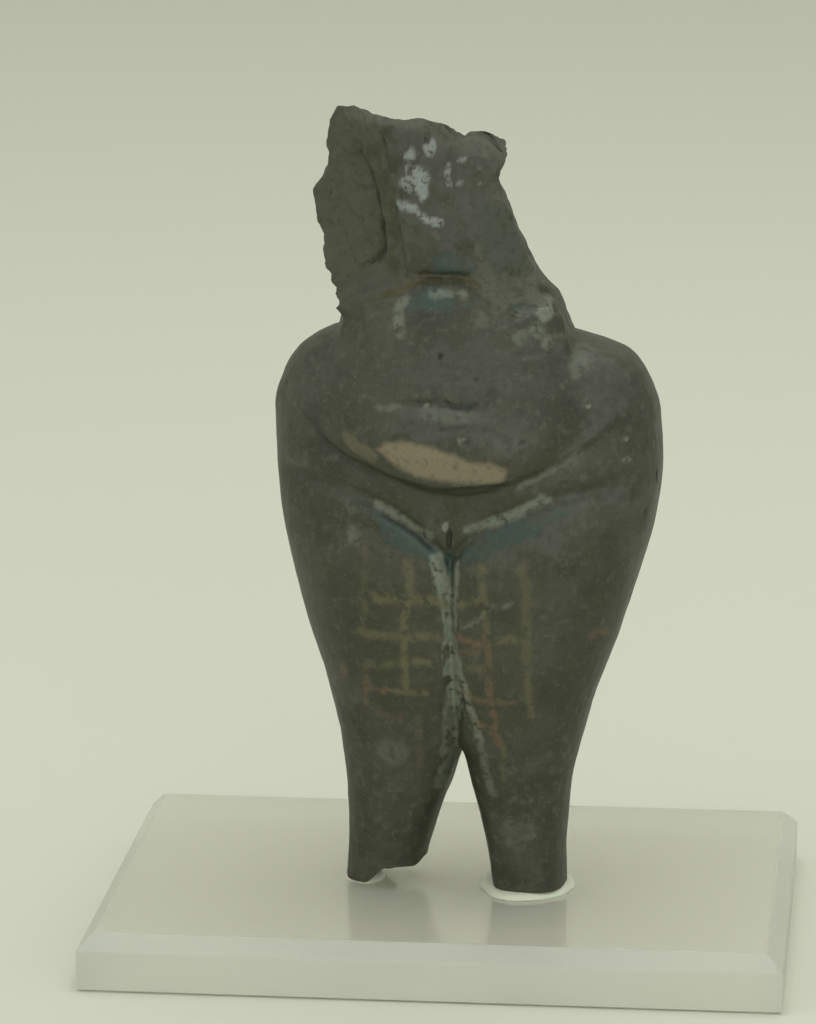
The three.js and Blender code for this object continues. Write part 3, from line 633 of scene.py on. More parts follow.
# Marks on the front, as places (x, z) in millimetres: lines with a width and a strength, outlines with a
# strength, and spots with their half sizes and a strength
MARKS = {
    "paint": {
        "lines": [
            ([(-5.8, 50.5), (-5.6, 46), (-6.1, 43), (-6.5, 39), (-6.7, 35), (-6.3, 30.6)], 1.2, 0.9),
            ([(-11.7, 52.4), (-12.2, 45.6), (-12.5, 39)], 1.0, 0.35),
            ([(-5, 26.7), (-5.1, 18.6)], 1.1, 0.4),
            ([(-12.9, 44.5), (-9.9, 44.3), (-7, 44.4), (-2.6, 44.6), (-0.6, 43.9)], 1.3, 0.9),
            ([(-13.4, 39), (-8.6, 38.7), (-1.7, 38.9)], 1.3, 0.8),
            ([(-13.3, 34.5), (-7.3, 34.6)], 1.2, 0.6),
            ([(-5.1, 35), (-3.2, 34.8)], 1.3, 0.9),
            ([(-9.6, 30.4), (-7.4, 30.1), (-3.8, 30.1)], 1.0, 0.8),
            ([(5, 50.3), (5.1, 45.1), (5.5, 42), (5.5, 39.8)], 1.1, 0.7),
            ([(7.3, 22.7), (7.1, 17.2)], 0.9, 0.5),
            ([(10.8, 50.6), (11.3, 46.9), (11.3, 39.3), (11.1, 34.7)], 1.4, 0.5),
            ([(11.1, 34.7), (11.3, 30), (11.5, 27.6)], 1.1, 0.7),
            ([(1.4, 44.1), (3.2, 44.8), (4.6, 45)], 0.9, 0.9),
            ([(5.7, 39), (11, 39.3)], 1.0, 0.8),
            ([(2.9, 34.2), (5.5, 34.7)], 1.1, 0.5),
            ([(-7.6, 44.4), (-6, 44.3)], 1.5, 1.0),
        ],
    },
    "red": {
        "lines": [
            ([(5.5, 39.8), (5.6, 36), (5.7, 29.7), (6.5, 24.3), (6.8, 23)], 1.1, 0.8),
            ([(-12.4, 33.5), (-12.7, 27.7)], 0.9, 0.5),
            ([(-12.7, 30.4), (-9.6, 30.4)], 0.9, 0.8),
            ([(-10.9, 26.6), (-7.6, 26.3)], 0.8, 0.4),
            ([(1.2, 39.2), (3, 38.5), (4.5, 38.2)], 1.1, 1.0),
            ([(1.7, 36.9), (4.1, 37.1)], 0.8, 0.7),
            ([(1.5, 30.9), (3, 30), (4.6, 29.3), (9, 29.5)], 0.6, 0.9),
            ([(3.3, 26), (5.2, 25.3), (6.5, 24.3)], 1.0, 0.8),
        ],
        "spots": [((-16.2, 32.5), (0.8, 1.6), 0.4), ((21, 39.4), (1.4, 0.8), 0.6)],
    },
    "pale": {
        "lines": [
            ([(3, 55.3), (4.6, 55.9), (6.8, 56.8), (9.2, 57.6), (11.5, 58.8), (13.9, 60.5)], 1.5, 0.8),
            ([(-10.1, 58.5), (-7.7, 57.1), (-5.2, 55.6), (-2.6, 53.9)], 1.1, 0.65),
            ([(-1.5, 50.6), (-1.0, 47.6), (-0.6, 44.6)], 2.0, 1.0),
            ([(-0.6, 44.6), (-0.4, 40), (-0.2, 37)], 1.2, 0.9),
            ([(-0.2, 38), (0, 33.7), (0.3, 28.6)], 2.0, 0.9),
            ([(-0.2, 29), (-0.6, 23.2), (-2.2, 14.9)], 1.9, 0.5),
            ([(1.1, 50.3), (0.9, 44.7), (0.6, 36.9), (1.6, 32.5)], 0.8, 0.7),
            ([(1.6, 32.5), (2.9, 27.6), (3.8, 23.5)], 1.0, 0.8),
            ([(3.8, 23.5), (4.6, 18.4), (5.4, 15.1)], 1.0, 0.45),
            ([(10.5, 61.8), (14, 64), (18.5, 66.9)], 0.8, 0.5),
            ([(2, 40.6), (3.8, 41.6), (5.5, 43.6), (9, 44.8)], 0.45, 0.6),
            # Painted highlight: a pale line on the top of the belly's ledge under the breast line
            ([(-3, 88.3), (0, 88.8), (1.5, 88.5)], 1.0, 0.7),
            ([(-6.5, 87.6), (-7.5, 86.4), (-7.1, 83.5)], 1.4, 0.6),
            ([(20.4, 31), (21, 27.6)], 0.5, 0.8),
        ],
        "spots": [
            ((9.8, 86.2), (1.2, 0.7), 0.6), ((12.6, 85.9), (1.0, 1.6), 0.9), ((12, 83.6), (1.2, 1.0), 0.6),
            ((13.4, 81.9), (0.9, 0.9), 0.5), ((10.1, 82.7), (1.0, 0.9), 0.4), ((-0.2, 55.5), (0.5, 0.8), 1),
            ((-13.5, 53.6), (1.2, 1.8), 0.4), ((17.8, 79.2), (1.4, 2.4), 0.35),
            ((-8, 73.4), (2.6, 0.5), 0.35), ((1, 72.4), (5, 1.0), 0.25), ((24.4, 68.2), (0.4, 0.5), 1),
            ((24.8, 65.5), (0.7, 0.5), 0.8),
            ((19.6, 73.1), (0.4, 0.4), 1.0), ((-2.2, 73.7), (0.5, 0.35), 1.0), ((3.1, 69.2), (0.6, 0.4), 0.7),
            ((-9, 20.5), (2.4, 2.2), 0.25), ((9.4, 9), (2.6, 3.0), 0.2),
        ],
    },
    "white": {
        "lines": [([(-7.9, 100.6), (-6.1, 100), (-4.4, 99), (-2.7, 98.1)], 1.0, 1.0)],
        "spots": [
            ((-6.7, 107.8), (1.1, 0.9), 0.9), ((-3.8, 108.7), (1.2, 1.3), 0.9),
            ((-6.8, 105.6), (0.6, 0.9), 0.7), ((-7, 103.8), (1.1, 1.2), 0.8),
            ((-4.8, 103.8), (1.5, 2.5), 1.0), ((-0.8, 105.8), (0.6, 1.2), 0.7),
            ((-0.9, 104), (0.6, 0.5), 0.6), ((1, 107.6), (0.7, 0.4), 0.7), ((0.7, 104.2), (0.6, 0.4), 0.5),
            ((3.6, 106.3), (0.5, 0.35), 0.5), ((-2.4, 98.6), (0.9, 0.7), 0.9), ((3.6, 104), (0.6, 0.3), 0.4),
        ],
    },
    "teal": {
        "lines": [
            ([(-13.9, 59), (-12, 58.3), (-9.7, 57)], 1.4, 0.7),
            ([(0.1, 51.7), (-0.1, 46.7), (-0.1, 40)], 0.9, 0.9),
        ],
        "areas": [
            ([(-9.7, 57), (-6.8, 55.7), (-4, 53.7), (-1.3, 51.9), (-0.6, 50.1), (-2.8, 50.6), (-6.5, 52),
              (-9.4, 53.6)], 1.0),
            ([(1.1, 50), (2.8, 52.9), (6.1, 55.4), (10.4, 57.5), (14.6, 59.6), (18.4, 60.9), (18.1, 59),
              (14.1, 55.9), (9.1, 53.4), (4.7, 51.3)], 0.9),
            # Painted highlight: the teal band on the top of the belly's ledge under the breast line, where
            # light from above falls
            ([(-6.5, 87.8), (-3.9, 88.7), (-1.2, 89.2), (1.3, 88.9), (3, 88.2), (3.3, 86.8), (0, 86.3),
              (-3.6, 86.4), (-6.6, 86)], 1.0),
            ([(-3.4, 94), (2.4, 93.6), (3.2, 91), (-3.2, 91.2)], 0.75),
            ([(3.6, 101.5), (7, 101), (8.4, 96.5), (9.6, 92), (6, 90.6), (3.8, 94)], 0.35),
        ],
        "spots": [((9.4, 86.8), (1.4, 0.5), 0.9), ((2.8, 73.7), (2.6, 0.6), 0.6)],
    },
    "tan": {
        "lines": [([(-14.1, 68.1), (-12.8, 67.1), (-10.4, 65.9)], 2.0, 0.38)],
        "areas": [
            ([(-9.7, 67.3), (-8.2, 68.3), (-4.5, 68.5), (-1.6, 68.1), (1.3, 67.4), (4.1, 66.4), (6.9, 66.1),
              (9, 65.1), (8.7, 63.4), (6.8, 63), (4, 63.1), (-0.2, 63.2), (-3.8, 63.9), (-6.8, 64.9)], 1.0),
        ],
    },
    "ochre": {
        "lines": [
            ([(-9.9, 87.7), (-7.6, 88.5), (-5.8, 89.7), (-5, 90.2), (-3.3, 90.3), (0.2, 90.5), (2.5, 90),
              (3.5, 89.5)], 0.8, 1.0),
            # Painted highlights: these two thin lines along the lap crease stand for light caught on the
            # belly's lower edge; the line above is the breast line's own brown
            ([(7.9, 62), (10.6, 62.9), (13.3, 64), (15.9, 65.8)], 0.5, 0.6),
            ([(-6.4, 63.4), (-2, 62.1), (2, 61.8)], 0.5, 0.4),
        ],
    },
    "olive": {
        "areas": [
            ([(-10.2, 110.5), (-9.2, 103), (-8.3, 98), (-7.2, 91.5), (-8.6, 91.2), (-10.6, 93), (-11, 97),
              (-11.8, 102), (-13.5, 106.5), (-14.5, 109)], 0.8),
            ([(-13, 61), (-6, 56.5), (-0.3, 51), (6, 56), (12, 60), (8, 61.6), (1, 60.8), (-6, 61.6)], 1.0),
            ([(9, 64.5), (12, 67.6), (17, 69.5), (20, 69), (14, 64.4), (8.6, 62.6)], 1.0),
            ([(-17, 87), (-11, 87), (-9, 82), (-10, 76), (-14, 73), (-17, 78)], 0.6),
            ([(-15, 52), (-13, 28), (12, 25), (14, 50), (6, 50), (0, 46), (-6, 50)], 0.75),
            ([(-25, 62), (-17, 60), (-16, 34), (-20, 30)], 0.5),
            ([(25, 60), (19, 56), (17, 34), (21, 30)], 0.5),
            ([(-18, 68), (-14.5, 70), (-10.5, 65.5), (-4, 62.8), (2, 61.6), (-4, 61.6), (-12, 63.4)], 0.9),
        ],
    },
    "mauve": {
        "areas": [
            ([(-17, 55), (-9, 52.8), (-3, 49.6), (-4.5, 46.8), (-10, 46.2), (-17, 49)], 0.7),
            ([(2.5, 50), (10, 53.5), (18, 59), (25, 62.5), (25, 57), (14, 51.4), (6, 47.2)], 0.9),
            ([(-15.8, 87.6), (-14.3, 89.5), (-11.5, 91.6), (-8, 91.3), (-7.8, 89.2), (-11, 88)], 0.9),
            ([(-9, 112), (6, 109.5), (4, 96), (-1, 93.6), (-6.6, 96), (-8.6, 104)], 0.7),
            ([(-9, 73), (8, 73), (11, 68), (0, 68.8), (-9, 69.6)], 0.7),
            ([(-6, 82), (14, 82.5), (15, 76), (4, 75), (-6, 77)], 0.5),
            ([(18, 80.6), (24, 79), (25.6, 72), (20, 70), (18, 74)], 0.5),
        ],
    },
    # Painted shade: dark lines in the lap crease, the groin line, the navel folds, the ledge and beside the
    # left ridge, and dark spots in small pits, where shade falls
    "painted_shade": {
        "lines": [
            ([(0.2, 54.8), (0.1, 52.2)], 0.55, 1.0),
            ([(-4.1, 74.1), (-2.2, 74), (-0.8, 74.5), (0.5, 74.2)], 0.25, 0.6),
            ([(0.2, 74.3), (1.7, 73.6), (3.5, 73.5), (4.7, 74)], 0.5, 0.8),
            ([(-9, 57), (-6.9, 55.9), (-4.7, 54.5), (-2.4, 52.5)], 0.45, 0.7),
            ([(-0.2, 70.5), (2.6, 71), (5.5, 70.9), (8.3, 70.1), (9.8, 69.2)], 0.3, 0.6),
            ([(-6.4, 62.7), (-0.9, 61.4), (5.4, 62.2), (8.6, 62.4)], 0.45, 0.8),
            ([(-19.4, 69.4), (-17.2, 66.6), (-14.1, 64.4), (-10.4, 63)], 0.9, 0.5),
            ([(5, 83.6), (6.4, 84.5), (8.4, 85.3), (9.2, 86.3), (12.8, 86.9)], 0.5, 0.5),
            ([(-10.6, 110.8), (-9.9, 108.9), (-9.4, 105.5)], 0.5, 0.5),
            ([(-9, 103), (-8.2, 98), (-7.6, 94.4), (-7, 91)], 0.5, 0.35),
        ],
        "spots": [
            ((1.2, 28.8), (0.6, 0.7), 1.0), ((0.9, 26.6), (0.35, 0.8), 1.0), ((-0.9, 80.4), (0.5, 0.35), 1.0),
            ((3.5, 68.8), (0.7, 0.3), 0.8), ((11.3, 69), (0.5, 0.3), 0.6), ((4.4, 77.5), (0.35, 0.3), 0.6),
            ((-4, 109.9), (0.5, 0.5), 0.8),
        ],
    },
}


# How far a mark's outline wavers, in millimetres
RAGGED = {
    "paint": 0.25, "red": 0.25, "pale": 0.4, "white": 0.5, "teal": 0.5, "tan": 0.3, "olive": 1.6, "mauve": 2,
    "ochre": 0.12, "painted_shade": 0.12,
}
# The two wobbles of an outline, as noises with height, size and shift
WOBBLE, SECOND_WOBBLE = [(1, 1.6, 1), (0.5, 0.7, 2)], [(1, 1.6, 9), (0.5, 0.7, 10)]
# Marks are only on the front, from here forwards
MARKS_FADE = (0.5, 3)
# Where the look of a break starts, as distances before and behind its edge, and how far its edge wavers
BREAK_SOFT, BREAK_WAVER = (-0.3, 0.1), 0.15
SIDE_SOFT, LEFT_SIDE_FOOT, CHEST_SOFT = (-0.4, 0), (85, 88), (-0.3, 0.3)
LEDGE_SOFT, LEDGE_WAVER = (-0.3, 0.3), 0.3
TOP_SOFT, STUMP_SOFT = (-0.35, -0.05), (0.1, 0.5)
# Left of this line the neck's broken top has the left break's colour
NECK_SPLIT = -9


def mark_mask(x, z, lines=(), areas=(), spots=()):
    """The strongest of a mask's lines, areas and spots."""
    shapes = [share * stroke(x, z, points, width) for points, width, share in lines]
    shapes += [share * patch(x, z, corners) for corners, share in areas]
    shapes += [share * spot(x, z, at, size) for at, size, share in spots]
    return np.max(shapes, 0)


def clay_masks(points):
    """Masks from 0 to 1 for every point: what is broken, worn, painted or covered, and where shade and
    highlights are painted on.
    """
    x, y, z = points.T
    front = smooth(-y, *MARKS_FADE)
    wobble, second = noises(x, y, z, WOBBLE), noises(x, y, z, SECOND_WOBBLE)
    lower, chest = lower_distance(x, y, z), chest_distance(x, y, z)
    whole = blend(lower, chest, CHEST_MERGE)
    faces = np.array([face(x, y, z) for face in FACES])
    side = faces - faces.max(0)
    on_chest = smooth(lower - chest, *CHEST_SOFT)
    cuts = [smooth(cut - whole + BREAK_WAVER * wobble, *BREAK_SOFT) for cut in break_distances(x, y, z)]
    cut_left, cut_right, chip = cuts
    edge_left = smooth(side[LEFT_EDGE], *SIDE_SOFT) * on_chest * smooth(z, *LEFT_SIDE_FOOT)
    edge_right = smooth(side[RIGHT_EDGE], *SIDE_SOFT) * on_chest
    above_ledge = smooth(z - ledge_line(x) + LEDGE_WAVER * wobble, *LEDGE_SOFT)
    top = smooth(z - break_sheet(x, y), *TOP_SOFT)
    stump = 1 - smooth(z - np.where(x < 0, left_stump(x, y), 0), *STUMP_SOFT)
    left = np.maximum(cut_left, edge_left)
    right = np.maximum.reduce([cut_right, edge_right, chip]) * np.maximum(above_ledge, chip)
    masks = {
        "broken_left": np.clip(left + top * (x < NECK_SPLIT) + stump, 0, 1),
        "broken_right": np.clip(right + top * (x >= NECK_SPLIT), 0, 1),
    }
    for name, marks in MARKS.items():
        by = RAGGED[name]
        masks[name] = np.clip(mark_mask(x + by * wobble, z + by * second, **marks) * front, 0, 1)
    return masks


# Fine relief in millimetres, as noises with height, size and shift: what hands left everywhere, and the
# crumbs of the breaks, which are weaker on the right one and at the foot of the left one
HAND = [(0.12, 7, 1), (0.06, 2.6, 2), (0.025, 1, 3)]
CRUMBS = [(0.22, 3.3, 4), (0.10, 1.2, 5), (0.08, 0.55, 6)]
CRUMBLY_LEFT, CRUMBLY_RIGHT, CRUMBLY_FROM = 0.9, 0.45, (88, 97)
# Under an olive crust the crumbs are this much lower
CRUMBS_COVERED = 0.6
# Steps where layers flaked off the left break
FLAKE_STEP, FLAKE_SIZE, FLAKES, FLAKY_FROM = 0.12, 3.5, 1.6, (90, 97)
# How far each kind of mark stands out
PROUD = {"white": 0.14, "pale": 0.07, "tan": -0.12, "painted_shade": -0.5}
# Burnishing strokes: across the figure from the lap up, and along it everywhere; they are this much longer
# than wide, and PITS says from which values of the noise a pit goes down
STROKE_DEPTH, STROKE_SIZE, STROKES_FROM, ACROSS, ALONG = 0.04, 0.9, (58, 64), 0.3, 0.2
PIT_DEPTH, PIT_SIZE, PITS = 0.25, 1.3, (0.8, 0.92)
# A thin layer over the belly that ends in a curved edge
CRUST_THICK, CRUST_TOP, CRUST_MIDDLE, CRUST_CURVE, CRUST_REACH = 0.10, 70.6, 4, 0.08, 7
CRUST_FOOT = (63, 66)
# The crack along the hollow, its hook at the foot, and its branch
CRACK_DEPTH, CRACK_WIDTH, CRACK_FOOT, CRACK_TOP = 0.8, 0.3, (92.6, 93.4), (106, 108.4)
CRACK_HOOK = [(-10.9, 93.6), (-11.2, 92.8), (-12.2, 92), (-13.6, 91.2)]
CRACK_BRANCH = [(-15.2, 101.9), (-12.2, 102.3)]


def clay_relief(points, masks):
    """Fine height in millimetres along the normal: a soft hand-made unevenness everywhere, crumbly
    breaks, crusts that stand out, a sunken tan patch, a crack, scratches and small pits."""
    x, y, z = points.T
    left, right = masks["broken_left"], masks["broken_right"]
    broken = np.maximum(left, right)
    across = noise(x * ACROSS, y * ACROSS, z, STROKE_SIZE, 11) * smooth(z, *STROKES_FROM)
    along = noise(x, y, z * ALONG, STROKE_SIZE, 12)
    strokes = STROKE_DEPTH * (across + along)
    rough = np.where(right > left, CRUMBLY_RIGHT, CRUMBLY_LEFT * smooth(z, *CRUMBLY_FROM))
    crumbs = rough * (1 - CRUMBS_COVERED * masks["olive"]) * noises(x, y, z, CRUMBS)
    marks = sum(proud * masks[name] for name, proud in PROUD.items())
    crust_edge = CRUST_TOP - CRUST_CURVE * np.abs(x - CRUST_MIDDLE) ** 1.5
    crust = CRUST_THICK * smooth(z - crust_edge, 0.3, -0.3) * hill(x - CRUST_MIDDLE, CRUST_REACH)
    pits = PIT_DEPTH * smooth(noise(x, y, z, PIT_SIZE, 7), *PITS)
    flakes = FLAKE_STEP * np.round(FLAKES * noise(x, y, z, FLAKE_SIZE, 8))
    crack = np.maximum.reduce([
        hill(x - hollow_edge(z) + 0.1, CRACK_WIDTH) * stretch(z, CRACK_FOOT, CRACK_TOP),
        0.6 * stroke(x, z, CRACK_HOOK, 0.35),
        0.5 * stroke(x, z, CRACK_BRANCH, 0.4),
    ]) * smooth(-y, 0, 2) * left
    # The crack gets painted shade as well
    masks["painted_shade"] = np.maximum(masks["painted_shade"], 0.9 * crack)
    height = noises(x, y, z, HAND) + (strokes - pits) * (1 - broken) + broken * crumbs + marks
    flaked = flakes * left * smooth(z, *FLAKY_FROM) * (1 - masks["olive"])
    return height + crust * smooth(z, *CRUST_FOOT) - CRACK_DEPTH * crack + flaked


# How near a point is to a stump or to the top to count as part of it, how far the relief of the top goes
# straight up instead of along the normal, and how high the relief fades in over the right stump
NEAR, TOP_UPRIGHT, STUMP_FADE = 0.02, 0.7, (0, 1)


def build_figurine():
    """The clay's skin moved by the relief along its normals, with its masks as point attributes."""
    skin = clay_skin()
    points = np.concatenate(skin.points)
    masks = clay_masks(points)
    away = normals_at(points)
    x, y, z = points.T
    flat = z < NEAR
    top = z > break_sheet(x, y) - NEAR
    stump = (x < 0) & (z < left_stump(x, y) + NEAR)
    away[top] = away[top] * (1 - TOP_UPRIGHT) + [0, 0, TOP_UPRIGHT]
    away[stump] = [0, 0, -1]
    height = clay_relief(points, masks)
    height = np.where(flat, 0, height) * np.where(x > 0, smooth(z, *STUMP_FADE), 1)
    points = points + away * height[:, None]
    made = mesh_object("clay_figurine", skin, to_row_frame(points))
    for name, values in masks.items():
        attribute = made.data.attributes.new(name, "FLOAT", "POINT")
        attribute.data.foreach_set("value", values.astype(np.float32))
    return made


# The base's polished edges
EDGE_WIDTH, EDGE_STEPS, EDGE_ANGLE = 0.25 * MM, 3, math.radians(20)
# The sides of a pad: how far in from its outline at which share of its thickness
PAD_SIDE = [(0.05, 0.0), (0.0, 0.12), (0.08, 0.32), (0.3, 0.58), (0.6, 0.78), (0.9, 0.9), (1.2, 0.96)]
PAD_TOP = 0.96
PAD_INSETS = (1.6, 2.0, 2.4, 2.8)
# Waves of a pad's outline: height as a share, count round it, and how the seed turns them
PAD_WAVES = [(0.03, 3, 1), (0.02, 5, -1), (0.01, 11, 2)]
PAD_LUMPS, PAD_LUMP_SIZE = 0.04, 1.4


def build_base():
    """The block with its bevelled upper edges: three rectangles one over another. Its top and underside are
    polished and its sides are satin."""
    half = [(high - low) / 2 / MM for low, high in zip(BASE_LOW, BASE_HIGH)][:2]
    thick = BASE_HIGH[2] / MM
    signs = np.array([[-1, -1], [1, -1], [1, 1], [-1, 1]])

    def corners(inset, z):
        return np.column_stack([signs * (np.array(half) - inset), np.full(4, z)])

    skin = Skin()
    low = skin.add(corners(0, 0))
    top = skin.tube(low, [corners(0, thick - BASE_BEVEL), corners(BASE_BEVEL, thick)])
    skin.quads.append(np.array([low[::-1], top]))
    skin.triangles.append(np.zeros((0, 3), int))
    made = mesh_object("acrylic_base", skin)
    for polygon in made.data.polygons:
        polygon.use_smooth = False
        polygon.material_index = int(abs(polygon.normal.z) < 0.95)
    edge = made.modifiers.new("polished edges", "BEVEL")
    edge.width = EDGE_WIDTH
    edge.segments = EDGE_STEPS
    edge.limit_method = "ANGLE"
    edge.angle_limit = EDGE_ANGLE
    edge.harden_normals = True
    return made


def build_pad(name, node, seed):
    """A pressed pad of wax in the solid's place: rings of a wavy outline whose side slopes up to the stump,
    with a top that is a little uneven."""
    low, high = [np.array(corner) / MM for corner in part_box(node)]
    middle, half = (low + high) / 2, (high - low) / 2
    skin = Skin()
    a = np.linspace(0, 2 * math.pi, 121)[:-1]
    wave = 0.95 + sum(share * np.sin(count * a + turn * seed) for share, count, turn in PAD_WAVES)
    profile = PAD_SIDE + [(inset, PAD_TOP) for inset in PAD_INSETS]

    def ring(inset, share):
        x = (half[0] * wave - inset) * np.cos(a)
        y = (half[1] * wave - inset) * np.sin(a)
        lumps = PAD_LUMPS * noise(x, y, x * 0, PAD_LUMP_SIZE, seed) * (share > 0.3)
        return np.column_stack([middle[0] + x, middle[1] + y, low[2] + PAD_THICK * share + lumps])

    first = skin.add(ring(*profile[0]))
    last = skin.tube(first, [ring(*p) for p in profile[1:]])
    skin.cap(first, skin.add([middle[0], middle[1], low[2]])[0], False)
    skin.cap(last, skin.add([middle[0], middle[1], low[2] + PAD_THICK * PAD_TOP])[0], True)
    return mesh_object(name, skin)


def linear(hex_colour):
    """An sRGB colour such as 4b4d40 as linear values with alpha 1."""
    parts = [int(hex_colour[i : i + 2], 16) / 255 for i in (0, 2, 4)]
    return [p / 12.92 if p <= 0.04045 else ((p + 0.055) / 1.055) ** 2.4 for p in parts] + [1]


def add_node(tree, kind, settings=None, **links):
    """Adds a node, sets its properties, and fills its inputs with values or with other nodes' outputs.
    An input is named by its label with _ for a space, or by in and its number."""
    node = tree.nodes.new(kind)
    for key, value in (settings or {}).items():
        setattr(node, key, value)
    for key, value in links.items():
        by_number = key[:2] == "in" and key[2:].isdigit()
        socket = node.inputs[int(key[2:]) if by_number else key.replace("_", " ")]
        if isinstance(value, bpy.types.NodeSocket):
            tree.links.new(value, socket)
        else:
            socket.default_value = value
    return node


def new_material(name):
    material = bpy.data.materials.new(name)
    material.use_nodes = True
    tree = material.node_tree
    return material, tree, tree.nodes["Principled BSDF"]


# Patterns of the clay: size in millimetres and detail. Fired clay is cloudy from the fire and from wear and
# has a sandy grain, and its crusts and paint are worn through in flakes of a millimetre or so
CLAY_PATTERNS = {
    "cloud": (14, 4), "blotch": (4.5, 4), "grain": (1.4, 4), "speck": (0.45, 2), "stain": (0.9, 3),
    "crust": (3, 4), "worn": (2.4, 4), "frayed": (0.7, 4),
}
PATTERN_ROUGHNESS = 0.6
CLAY_COLOUR = "2f3122"
# What lies on it, and the painted shade and highlights, from below: the mask, or none for all over, the
# colour, how much it covers, the pattern that frays it, and the values of the pattern where it starts and is
# whole
CLAY_LAYERS = [
    (None, "3e4033", 1, "cloud", 0.35, 0.65),
    (None, "292b1d", 0.6, "blotch", 0.5, 0.62),
    (None, "515143", 0.6, "grain", 0.5, 0.7),
    ("broken_left", "505141", 0.8, None, 0, 1),
    # The right break's broken clay, painted paler than the left break as if its faces were lit from the right
    ("broken_right", "595b4f", 0.85, "blotch", 0.3, 0.55),
    ("mauve", "4b4c45", 0.8, "blotch", 0.3, 0.55),
    ("olive", "33361f", 0.7, "crust", 0.3, 0.6),
    # Teal is residue, and on the ledge under the breast line a painted highlight
    ("teal", "2f433d", 1, "blotch", 0.3, 0.55),
    # Pale is residue, and along the ledge under the breast line a painted highlight
    ("pale", "70786a", 0.9, "grain", 0.34, 0.5),
    ("paint", "59573a", 0.9, "grain", 0.34, 0.5),
    ("red", "604e38", 0.9, "grain", 0.34, 0.5),
    ("tan", "79705a", 0.95, "worn", 0.1, 0.42),
    # Ochre is the breast line's brown, and painted highlight along the lap crease
    ("ochre", "4a4429", 0.9, "grain", 0.34, 0.5),
    ("white", "868d8b", 0.9, "frayed", 0.32, 0.5),
    # Painted shade in the creases, folds, crack and pits
    ("painted_shade", "171813", 0.85, None, 0, 1),
    (None, "20221a", 0.35, "stain", 0.54, 0.66),
    (None, "6a6a5c", 0.35, "speck", 0.6, 0.72),
]
# Roughness and strength of the grain where the clay is burnished and where it is broken, and the grain's
# height
CLAY_ROUGHNESS, CLAY_GRAIN, GRAIN_HEIGHT = (0.5, 0.85), (0.5, 1), 0.16 * MM


def burnished_clay():
    """Dark fired clay, rubbed smooth before firing: the rubbed skin has a soft sheen, and the breaks, which
    show the sandy clay inside, are dull and paler, the right one painted paler still as if lit from the
    right.
    Crusts and paint lie on it in layers, with painted shade in its creases, folds, crack and pits, and
    painted highlights along the lap crease and on the ledge under the breast line."""
    material, tree, shader = new_material("burnished fired clay")
    place = add_node(tree, "ShaderNodeTexCoord").outputs["Object"]
    patterns, masks = {}, {}
    for name, (size, detail) in CLAY_PATTERNS.items():
        patterns[name] = add_node(
            tree, "ShaderNodeTexNoise", Vector=place, Scale=1 / (size * MM), Detail=detail,
            Roughness=PATTERN_ROUGHNESS,
        ).outputs["Fac"]
    colour = linear(CLAY_COLOUR)
    for mask, hex_colour, weight, pattern, low, high in CLAY_LAYERS:
        if pattern:
            weight = add_node(
                tree, "ShaderNodeMapRange", {"interpolation_type": "SMOOTHSTEP"},
                Value=patterns[pattern], From_Min=low, From_Max=high, To_Max=weight,
            ).outputs["Result"]
        if mask:
            masks[mask] = add_node(tree, "ShaderNodeAttribute", {"attribute_name": mask}).outputs["Fac"]
            weight = add_node(
                tree, "ShaderNodeMath", {"operation": "MULTIPLY"}, in0=masks[mask], in1=weight
            ).outputs[0]
        colour = add_node(
            tree, "ShaderNodeMix", {"data_type": "RGBA"}, in0=weight, in6=colour, in7=linear(hex_colour)
        ).outputs[2]
    left, right = masks["broken_left"], masks["broken_right"]
    broken = add_node(tree, "ShaderNodeMath", {"operation": "MAXIMUM"}, in0=left, in1=right).outputs[0]
    rough = add_node(
        tree, "ShaderNodeMapRange", Value=broken, To_Min=CLAY_ROUGHNESS[0], To_Max=CLAY_ROUGHNESS[1]
    )
    strength = add_node(tree, "ShaderNodeMapRange", Value=broken, To_Min=CLAY_GRAIN[0], To_Max=CLAY_GRAIN[1])
    height = add_node(
        tree, "ShaderNodeMix", {"data_type": "FLOAT"}, in0=0.5, in2=patterns["speck"], in3=patterns["grain"]
    )
    bump = add_node(
        tree, "ShaderNodeBump", Strength=strength.outputs["Result"], Distance=GRAIN_HEIGHT,
        Height=height.outputs[0],
    )
    tree.links.new(colour, shader.inputs["Base Color"])
    tree.links.new(rough.outputs["Result"], shader.inputs["Roughness"])
    tree.links.new(bump.outputs["Normal"], shader.inputs["Normal"])
    return material


def acrylic(name, hex_colour, roughness, clearness):
    """Clear acrylic over a pale floor: polished faces mirror the room a little and satin ones glow evenly.
    Its clearness is the share of light that goes in, and the rest is scattered."""
    material, _, shader = new_material(name)
    shader.inputs["Base Color"].default_value = linear(hex_colour)
    shader.inputs["Roughness"].default_value = roughness
    shader.inputs["IOR"].default_value = 1.49
    shader.inputs["Transmission Weight"].default_value = clearness
    return material


def pale_wax():
    """Soft pale wax, pressed by hand: a low gloss, and light that spreads a little way inside."""
    material, _, shader = new_material("museum wax")
    shader.inputs["Base Color"].default_value = linear("d9dccb")
    shader.inputs["Roughness"].default_value = 0.35
    shader.inputs["Subsurface Weight"].default_value = 0.3
    shader.inputs["Subsurface Scale"].default_value = 0.001
    return material


def place(made, materials, slot, *nodes):
    """Gives a piece its materials and its body, and hides the nodes that it stands for. Its slot is not used.
    """
    for material in materials:
        made.data.materials.append(material)
    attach(made, "root")
    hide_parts(*nodes)


